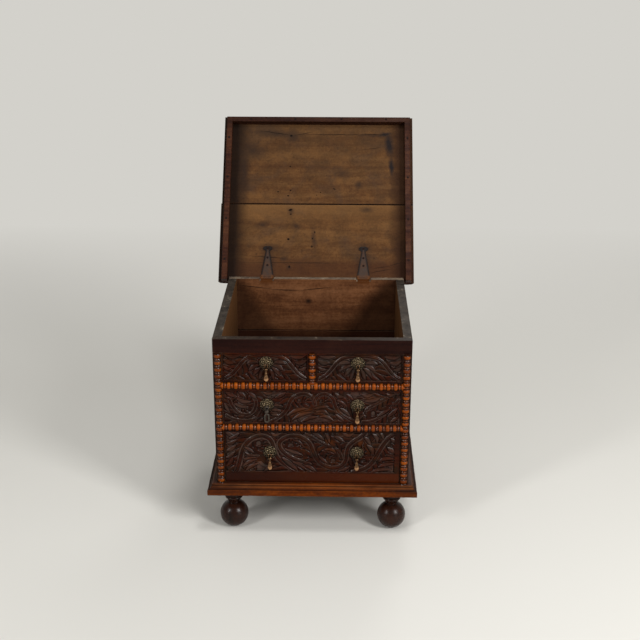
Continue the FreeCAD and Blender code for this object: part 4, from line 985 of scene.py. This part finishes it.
RUBBED_SPOTS = [
    ((76, -238), 26, 10, 0), ((44, -256), 20, 11, -10), ((114, -257), 14, 9, 20), ((-123, -311), 13, 9, 0),
    ((36, -277), 30, 8, -5), ((-26, -180), 44, 15, 12), ((18, -184), 20, 8, -20), ((130, -143), 22, 8, 10),
    ((-88, -240), 12, 8, 0), ((140, -40), 14, 6, -15), ((-62, -44), 10, 6, -30), ((60, -178), 14, 8, -40),
]


# Finishes: what each piece is made of, how its surface was made, and what that gives the eye


def rail_oak():
    """Oak planed and waxed: almost black red-brown, with a dull shine and a dark dry upper edge."""
    return wood("waxed oak rail", "x", ("#140403", "#1B0805", "#260E08"), roughness=0.42, shine=0.07,
                edge=0.6, wear="#5A4638", paint=rail_rim)


def side_oak():
    """Oak side boards, upright grain: dark wax outside, dry brown inside, a grey dusty rim."""
    return wood("waxed oak side", "z", ("#1E0F0A", "#29160E", "#362015"), roughness=0.55, shine=0.08,
                edge=0.6, wear="#6E6252", paint=side_faces)


def carved_oak():
    """Oak carved with gouges and waxed: dark ground with dirt and painted shade, redder high places, grey
    dust and painted sheen on what faces up, rubbed lines with painted highlight.
    """
    return wood("carved waxed oak", "x", ("#130400", "#220700", "#391102"), roughness=0.26, shine=0.08,
                waxed=0.62, gloss=0.19, dirt_and_shade="#040100", wear="#6F5446", wear_amount=0.34, edge=0.0,
                patches="#180A05", patch_amount=0.45, bump=0.2, dust_and_sheen=0.20, paint=carving_shades)


def inside_oak():
    """Oak left from the plane, never waxed: orange-brown, dull, darker in patches."""
    return wood("bare oak inside", "x", ("#452817", "#5E3A22", "#774F33"), roughness=0.7, shine=0.05,
                edge=0.3, streaks=0.55, wear="#7A6450", patches="#33190D", patch_amount=0.6, paint=back_faces)


def lid_oak():
    """Oak planed and left dry under the lid: mottled mid brown with stains; waxed dark on its outside."""
    return wood("dry oak lid", "x", ("#472B17", "#583A20", "#6C4B2B"), roughness=0.66, shine=0.05,
                streaks=0.35, wear="#8A5A34", edge=0.45, patches="#3F3128", patch_amount=0.55, bump=0.4,
                paint=lid_faces)


def lip_oak():
    """Oak strips nailed round the lid: red-brown wax, worn lighter on the corners."""
    return wood("red-brown oak strip", "x", ("#25100A", "#381D12", "#50301D"), roughness=0.44, shine=0.07,
                wear="#5E3A26", edge=0.7, paint=lip_shade)


def bead_wood():
    """Turned fruitwood, split and waxed: orange-brown beads, near black in the grooves with dirt and
    painted shade, shiny reels.
    """
    return wood("waxed fruitwood", "x", ("#5A2300", "#803800", "#A85504"), roughness=0.33, shine=0.13,
                dirt_and_shade="#0A0301", wear="#2A0E04", wear_amount=0.85, edge=0.0, patches="#471500",
                patch_amount=0.5, waxed=1.0)


def plinth_oak():
    """Oak moulding planed to shape: rubbed warm on its face, dirt and painted shade in its quirks, old
    dark wax at its ends.
    """
    return wood("waxed oak moulding", "x", ("#3A1705", "#562505", "#7A3A0A"), roughness=0.38, shine=0.06,
                dirt_and_shade="#0E0603", wear="#9A5A2C", wear_amount=0.35, edge=0.2, patches="#2E130A",
                patch_amount=0.55, paint=plinth_wear)


def foot_oak():
    """Oak turned and waxed: dark red-brown with small bright lights on the ball."""
    return wood("turned waxed oak", "z", ("#140904", "#221009", "#32190F"), roughness=0.27, shine=0.20,
                wear="#5E4030", wear_amount=0.15, edge=0.0, bump=0.15)


def drawer_lining_oak():
    """Thin oak boards, sawn and never waxed: pale dull brown."""
    return wood("bare oak lining", "y", ("#6E5234", "#8A6B47", "#A3835A"), roughness=0.74, shine=0.08,
                wear="#B09A78", patches="#5A4430", patch_amount=0.4)


def drop_brass():
    """Cast brass, rubbed by fingers: warm bright bulb, brown tarnish in its neck, black painted shade in
    the eye of its ring.
    """
    return metal("cast brass", "#B88C66", "#5E4028", roughness=0.15, amount=0.55, dirt_and_shade="#120A06",
                 paint=ring_eye_shade)


def plate_brass():
    """Pressed thin brass, tarnished: olive brown, with rubbed yellow ridges brighter on the upper half as
    painted highlight, and dark hollows.
    """
    return metal("pressed brass", "#463828", "#231B14", rubbed_and_highlight="#CDB488", dirt_and_shade="#060403", roughness=0.30,
                 amount=0.6, metallic=0.85)


def hinge_iron():
    """Iron forged thin: brown-black oxide with rust, no shine."""
    return metal("wrought iron", "#382A22", "#4A301F", roughness=0.5, amount=0.7, scale=90.0, bump=0.8,
                 metallic=0.0, dirt_and_shade="#070403", shine=0.12, paint=hinge_marks)


def drop_iron():
    """Iron forged and handled: dull warm grey with brown patches, black painted shade in its eye."""
    return metal("grey forged iron", "#4A4139", "#26221D", roughness=0.40, amount=0.6, scale=200.0, bump=0.4,
                 metallic=0.7, paint=ring_eye_shade)


def pin_brass():
    """Brass wire under old dirt: grey-brown, hardly shining, with black painted shade in the eye of each
    drop's ring.
    """
    return metal("dark brass wire", "#5E5242", "#2A2219", roughness=0.5, amount=0.6, metallic=0.5, shine=0.1,
                 paint=ring_eye_shade)


def nail_iron():
    """Iron nails under old wax: as dark as the wood round them."""
    return metal("iron nail", "#170C08", "#26120B", roughness=0.6, amount=0.6, scale=300.0, bump=0.4,
                 metallic=0.1, shine=0.1)


FINISHES = {}


def finish(make):
    """The material that a function makes, made when it is first asked for."""
    if make.__name__ not in FINISHES:
        FINISHES[make.__name__] = make()
    return FINISHES[make.__name__]


SLOT_FINISH = {
    "case_oak": side_oak, "carved_oak": carved_oak, "inside_oak": inside_oak, "lid_oak": lid_oak,
    "lip_oak": lip_oak, "bead_wood": bead_wood, "plinth_oak": plinth_oak, "foot_oak": foot_oak,
    "drawer_lining_oak": drawer_lining_oak, "drop_brass": drop_brass, "plate_brass": plate_brass,
    "hinge_iron": hinge_iron, "nail_iron": nail_iron,
}
NODE_FINISH = {
    "front_top_rail": rail_oak, "front_muntin": rail_oak, "front_middle_rail": rail_oak,
    "front_lower_rail": rail_oak, "drop_middle_left": drop_iron, "case_pull_pins": pin_brass,
    "drawer_pull_pins": pin_brass,
}


# Settings


class OakBoxCarving(bpy.types.PropertyGroup):
    depth: FloatProperty(name="Depth", description="Depth of the carved ground", default=0.0032,
                         unit="LENGTH")
    spacing: FloatProperty(name="Spacing", description="Grid spacing of the carved faces", default=0.0005,
                           unit="LENGTH")


class OakBoxTurning(bpy.types.PropertyGroup):
    pitch: FloatProperty(name="Bead pitch", description="Distance between two beads", default=0.0166,
                         unit="LENGTH")
    wobble: FloatProperty(name="Out of round", description="How far the turned feet are from round",
                          default=0.006)


class OakBoxStage(bpy.types.PropertyGroup):
    floor: FloatVectorProperty(name="Floor", description="Colour of the floor and backdrop", subtype="COLOR",
                               default=linear("#D3D1CB")[:3])
    lens: FloatProperty(name="Lens", description="Focal length on a 36 mm sensor", default=63.64, min=1.0)


# Operators


class OAKBOX_OT_carved_panels(bpy.types.Operator):
    """Carve the two top panels and the middle panel"""
    bl_idname = "oakbox.carved_panels"
    bl_label = "Carved panels"

    def execute(self, context):
        carving = context.scene.oakbox_carving
        for node, design in (
                ("top_panel_left", lunette(left=-203, right=-11, pull_x=-103.9)),
                ("top_panel_right", lunette(left=11, right=203, pull_x=103.5)),
                ("middle_panel", MIDDLE)):
            low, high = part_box(node)
            sides, bottom, top = 3.0, 2.0, 4.0
            field = (low.x / MM + sides, high.x / MM - sides, (low.z - RIM) / MM + bottom,
                     (high.z - RIM) / MM - top)
            if node == "middle_panel":
                field = MIDDLE_FIELD
            sheet, *shades = carved_sheet(node, design, field, carving.spacing, carving.depth)
            shell = slab(sheet, high.y, *shades)
            make_piece("carved_" + node, [shell], "case", [node], finish(carved_oak))
        return {"FINISHED"}


class OAKBOX_OT_drawer_face(bpy.types.Operator):
    """Carve the drawer's front and fit its rear part between the sides"""
    bl_idname = "oakbox.drawer_face"
    bl_label = "Drawer face"

    def execute(self, context):
        carving = context.scene.oakbox_carving
        low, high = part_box("drawer_front")
        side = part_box("drawer_side_left")
        lap = side[0].y
        inner = abs(side[1].x)
        sheet, *shades = carved_sheet("drawer_front", DRAWER, DRAWER_FIELD, carving.spacing, carving.depth)
        face = slab(sheet, lap, *shades)
        x, z = np.meshgrid(np.linspace(-inner, inner, 30), np.linspace(high.z, low.z, 12))
        rear = slab(np.stack([x, np.full(x.shape, lap - 0.1 * MM), z], -1), high.y)
        make_piece("carved_drawer_front", [face, rear], "drawer", ["drawer_front"],
                   finish(carved_oak))
        return {"FINISHED"}


class OAKBOX_OT_split_turnings(bpy.types.Operator):
    """Turn the strings of beads and reels"""
    bl_idname = "oakbox.split_turnings"
    bl_label = "Split turnings"

    def execute(self, context):
        pitch = context.scene.oakbox_turning.pitch
        rng = np.random.default_rng(5)
        for node, along, margin, point, foot in (
                ("bead_strip_left", "z", 7.2 * MM, 0, False), ("bead_strip_right", "z", 7.2 * MM, 0, False),
                ("bead_strip_upper", "x", 20.2 * MM, 5 * MM, False),
                ("bead_strip_lower", "x", 20.2 * MM, 5 * MM, False), ("bead_strip_muntin", "z", 0, 0, True)):
            shell = bead_shell(node, along, margin, pitch, rng, point, foot)
            make_piece("turned_" + node, [shell], "case", [node], finish(bead_wood), sharp=60)
        return {"FINISHED"}


class OAKBOX_OT_feet(bpy.types.Operator):
    """Turn the four ball feet"""
    bl_idname = "oakbox.feet"
    bl_label = "Ball feet"

    def execute(self, context):
        wobble = context.scene.oakbox_turning.wobble
        for k, node in enumerate(("foot_front_left", "foot_front_right", "foot_rear_left",
                                  "foot_rear_right")):
            middle = sum(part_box(node), Vector()) / 2
            shell = lathe(foot_profile(), (middle.x, middle.y, 0), segments=72, wobble=wobble, seed=k)
            make_piece("turned_" + node, [shell], "case", [node], finish(foot_oak), sharp=45)
        return {"FINISHED"}


class OAKBOX_OT_plinth(bpy.types.Operator):
    """Run the three plinth mouldings with mitred corners"""
    bl_idname = "oakbox.plinth"
    bl_label = "Plinth mouldings"

    def execute(self, context):
        rng = np.random.default_rng(9)
        section = plinth_section()
        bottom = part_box("plinth_moulding_front")[0].z
        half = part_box("base_board")[1].x
        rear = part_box("plinth_moulding_left")[1].y
        front = moulding(
            section, lambda p: -half - p[:, 0], lambda p: half + p[:, 0],
            lambda run, out, up: np.stack([run, FRONT - out, bottom + up], -1), rng)
        make_piece("moulded_plinth_front", [front], "case", ["plinth_moulding_front"],
                   finish(plinth_oak), sharp=35)
        for side, node in ((-1, "plinth_moulding_left"), (1, "plinth_moulding_right")):
            bar = moulding(
                section, lambda p: FRONT - p[:, 0], lambda p: np.full(len(p), rear),
                lambda run, out, up, s=side: np.stack([s * (half + out), run, bottom + up], -1), rng)
            make_piece("moulded_" + node, [bar], "case", [node], finish(plinth_oak), sharp=35)
        return {"FINISHED"}


class OAKBOX_OT_pulls(bpy.types.Operator):
    """Press the rosette plates and cast the drops"""
    bl_idname = "oakbox.pulls"
    bl_label = "Drop pulls"

    def execute(self, context):
        plate_radius, plate_rise, grime = 16.6 * MM, 4.5 * MM, 0.72
        for body, rows in (("case", ("top", "middle")), ("drawer", ("drawer",))):
            plates, shells = body + "_pull_plates", []
            for drop in ["drop_%s_%s" % (row, side) for row in rows for side in ("left", "right")]:
                centre = links_from(drop)
                shells.append(plate_shell((centre.x, FRONT, centre.z + plate_rise), plate_radius))
                if drop != "drop_middle_left":
                    points, faces, hollow, wear_and_highlight = ring_shell(centre, *RING, (0, 1, 0), (0, 0, 1))
                    ring = (points, faces, hollow + grime, wear_and_highlight)
                    points, faces, hollow, wear_and_highlight = lathe(drop_profile(), centre, segments=48)
                    # Grimy to 14.4 mm below the ring's centre, and clean from 18.4 mm
                    dull = grime * smooth_step((points[:, 2] - centre.z) / (4 * MM) + 4.6)
                    bulb = (points, faces, np.maximum(hollow, dull), wear_and_highlight * (1 - dull) ** 3)
                    make_piece("cast_" + drop, [ring, bulb], drop, [drop],
                               finish(drop_brass), sharp=60)
            make_piece("pressed_" + plates, shells, body, [plates], finish(plate_brass),
                       sharp=60)
        return {"FINISHED"}


class OAKBOX_OT_plain_nodes(bpy.types.Operator):
    """Give every solid that still shows its finish"""
    bl_idname = "oakbox.plain_nodes"
    bl_label = "Finishes"

    def execute(self, context):
        slots = {row["node"]: row["material_slot"] for row in frame["record"]["subparts"]}
        for node, obj in frame["nodes"].items():
            if obj.hide_render:
                continue
            obj.data.materials.clear()
            obj.data.materials.append(finish(NODE_FINISH.get(node, SLOT_FINISH[slots[node]])))
        return {"FINISHED"}


# Softboxes: name, place, width and height in metres, and watts
LAMPS = (
    ("left_softbox", (-2.05, -2.2, 1.75), 0.4, 1.1, 34.0),
    ("right_softbox", (2.05, -2.2, 1.9), 0.65, 1.3, 74.0),
    ("top_softbox", (0.5, -1.1, 3.1), 0.7, 0.7, 27.0),
    ("back_softbox", (0.8, 2.4, 2.3), 0.8, 0.8, 20.0),
)
# The camera, fitted to the photograph: degrees downwards, to the right and of roll, and its place
CAMERA_TURNS = (21.41, -1.05, 0.09)
CAMERA_PLACE = (0.0604, FRONT - 2.3402, RIM + 0.9657)


class OAKBOX_OT_stage(bpy.types.Operator):
    """Set the floor, the backdrop, the soft lights and the camera"""
    bl_idname = "oakbox.stage"
    bl_label = "Stage"

    def execute(self, context):
        scene = context.scene
        settings = scene.oakbox_stage
        material, tree, axes = new_material("plain pale floor")
        colour = (*settings.floor, 1.0)
        matt = add(tree, "BsdfPrincipled", {"Base Color": colour, "Roughness": 0.9,
                                            "Specular IOR Level": 0.1})
        # To the camera the floor fades, from y = 0.5 to 2.2 m, into its own flat colour
        glow = add(tree, "Emission", {"Color": colour})
        rays = add(tree, "LightPath", out=None)
        seen = rays["Is Camera Ray"]
        for name in ("Is Glossy Ray", "Is Transmission Ray"):
            seen = add(tree, "Math", {0: seen, 1: rays[name]}, operation="MAXIMUM")
        far = add(tree, "SeparateXYZ", {0: axes["Object"]}, "Y")
        surface = add(tree, "MixShader", {0: overlap(tree, seen, (far, 0.5, 2.2)), 1: matt, 2: glow})
        add(tree, "OutputMaterial", {"Surface": surface}, None)
        # A flat floor, a quarter circle and a wall, as wide as the view needs
        near, bend, radius, wall, half = -6.0, 2.2, 1.2, 6.0, 7.0
        turn = np.linspace(0, math.pi / 2, 24)
        run = np.concatenate([[near], bend + radius * np.sin(turn), [bend + radius]])
        rise = np.concatenate([[0.0], radius - radius * np.cos(turn), [wall]])
        grid = np.stack(np.broadcast_arrays(np.array([-half, half]), run[:, None], rise[:, None]), -1)
        mesh = bpy.data.meshes.new("sweep")
        mesh.from_pydata(grid.reshape(-1, 3).tolist(), [], quads(len(run), 2).tolist())
        mesh.polygons.foreach_set("use_smooth", np.ones(len(mesh.polygons), bool))
        mesh.materials.append(material)
        sweep = bpy.data.objects.new("floor_sweep", mesh)
        scene.collection.objects.link(sweep)

        aim = Vector((0, 0, 0.4))
        for title, spot, wide, tall, watts in LAMPS:
            lamp = bpy.data.lights.new(title, "AREA")
            lamp.shape, lamp.size, lamp.size_y, lamp.energy = "RECTANGLE", wide, tall, watts
            light = bpy.data.objects.new(title, lamp)
            light.location = spot
            light.rotation_euler = (aim - Vector(spot)).to_track_quat("-Z", "Y").to_euler()
            scene.collection.objects.link(light)
        world = bpy.data.worlds.new("room")
        world.use_nodes = True
        background = world.node_tree.nodes["Background"].inputs
        background["Color"].default_value, background["Strength"].default_value = linear("#E6E5E2"), 0.40
        scene.world = world

        scene.view_settings.view_transform = "Standard"
        pitch, yaw, roll = (math.radians(angle) for angle in CAMERA_TURNS)
        ahead = Vector((math.sin(yaw) * math.cos(pitch), math.cos(yaw) * math.cos(pitch), -math.sin(pitch)))
        right = ahead.cross(Vector((0, 0, 1))).normalized()
        up = right.cross(ahead)
        right, up = right * math.cos(roll) + up * math.sin(roll), up * math.cos(roll) - right * math.sin(roll)
        data = bpy.data.cameras.new("camera")
        data.lens, data.sensor_width = settings.lens, 36.0
        camera = bpy.data.objects.new("camera", data)
        turned = Matrix((right, up, -ahead)).transposed().to_4x4()
        camera.matrix_world = Matrix.Translation(CAMERA_PLACE) @ turned
        scene.collection.objects.link(camera)
        scene.camera = camera
        return {"FINISHED"}


class OAKBOX_PT_panel(bpy.types.Panel):
    """Sizes and steps of the oak box"""
    bl_idname = "OAKBOX_PT_panel"
    bl_label = "Oak box"
    bl_space_type = "VIEW_3D"
    bl_region_type = "UI"
    bl_category = "Oak box"

    def draw(self, context):
        scene = context.scene
        for group in (scene.oakbox_carving, scene.oakbox_turning, scene.oakbox_stage):
            for name in group.bl_rna.properties.keys():
                if name not in ("rna_type", "name"):
                    self.layout.prop(group, name)
        for step in STEPS:
            self.layout.operator(step.bl_idname)


GROUPS = {"oakbox_carving": OakBoxCarving, "oakbox_turning": OakBoxTurning, "oakbox_stage": OakBoxStage}
STEPS = (OAKBOX_OT_carved_panels, OAKBOX_OT_drawer_face, OAKBOX_OT_split_turnings, OAKBOX_OT_feet,
         OAKBOX_OT_plinth, OAKBOX_OT_pulls, OAKBOX_OT_plain_nodes, OAKBOX_OT_stage)


def register():
    for kind in (*GROUPS.values(), *STEPS, OAKBOX_PT_panel):
        bpy.utils.register_class(kind)
    for name, kind in GROUPS.items():
        setattr(bpy.types.Scene, name, PointerProperty(type=kind))


def unregister():
    for name in GROUPS:
        delattr(bpy.types.Scene, name)
    for kind in (OAKBOX_PT_panel, *reversed(STEPS), *reversed(GROUPS.values())):
        bpy.utils.unregister_class(kind)


def main():
    """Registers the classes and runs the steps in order."""
    register()
    for step in STEPS:
        group, name = step.bl_idname.split(".")
        getattr(getattr(bpy.ops, group), name)()


if __name__ == "__main__":
    main()
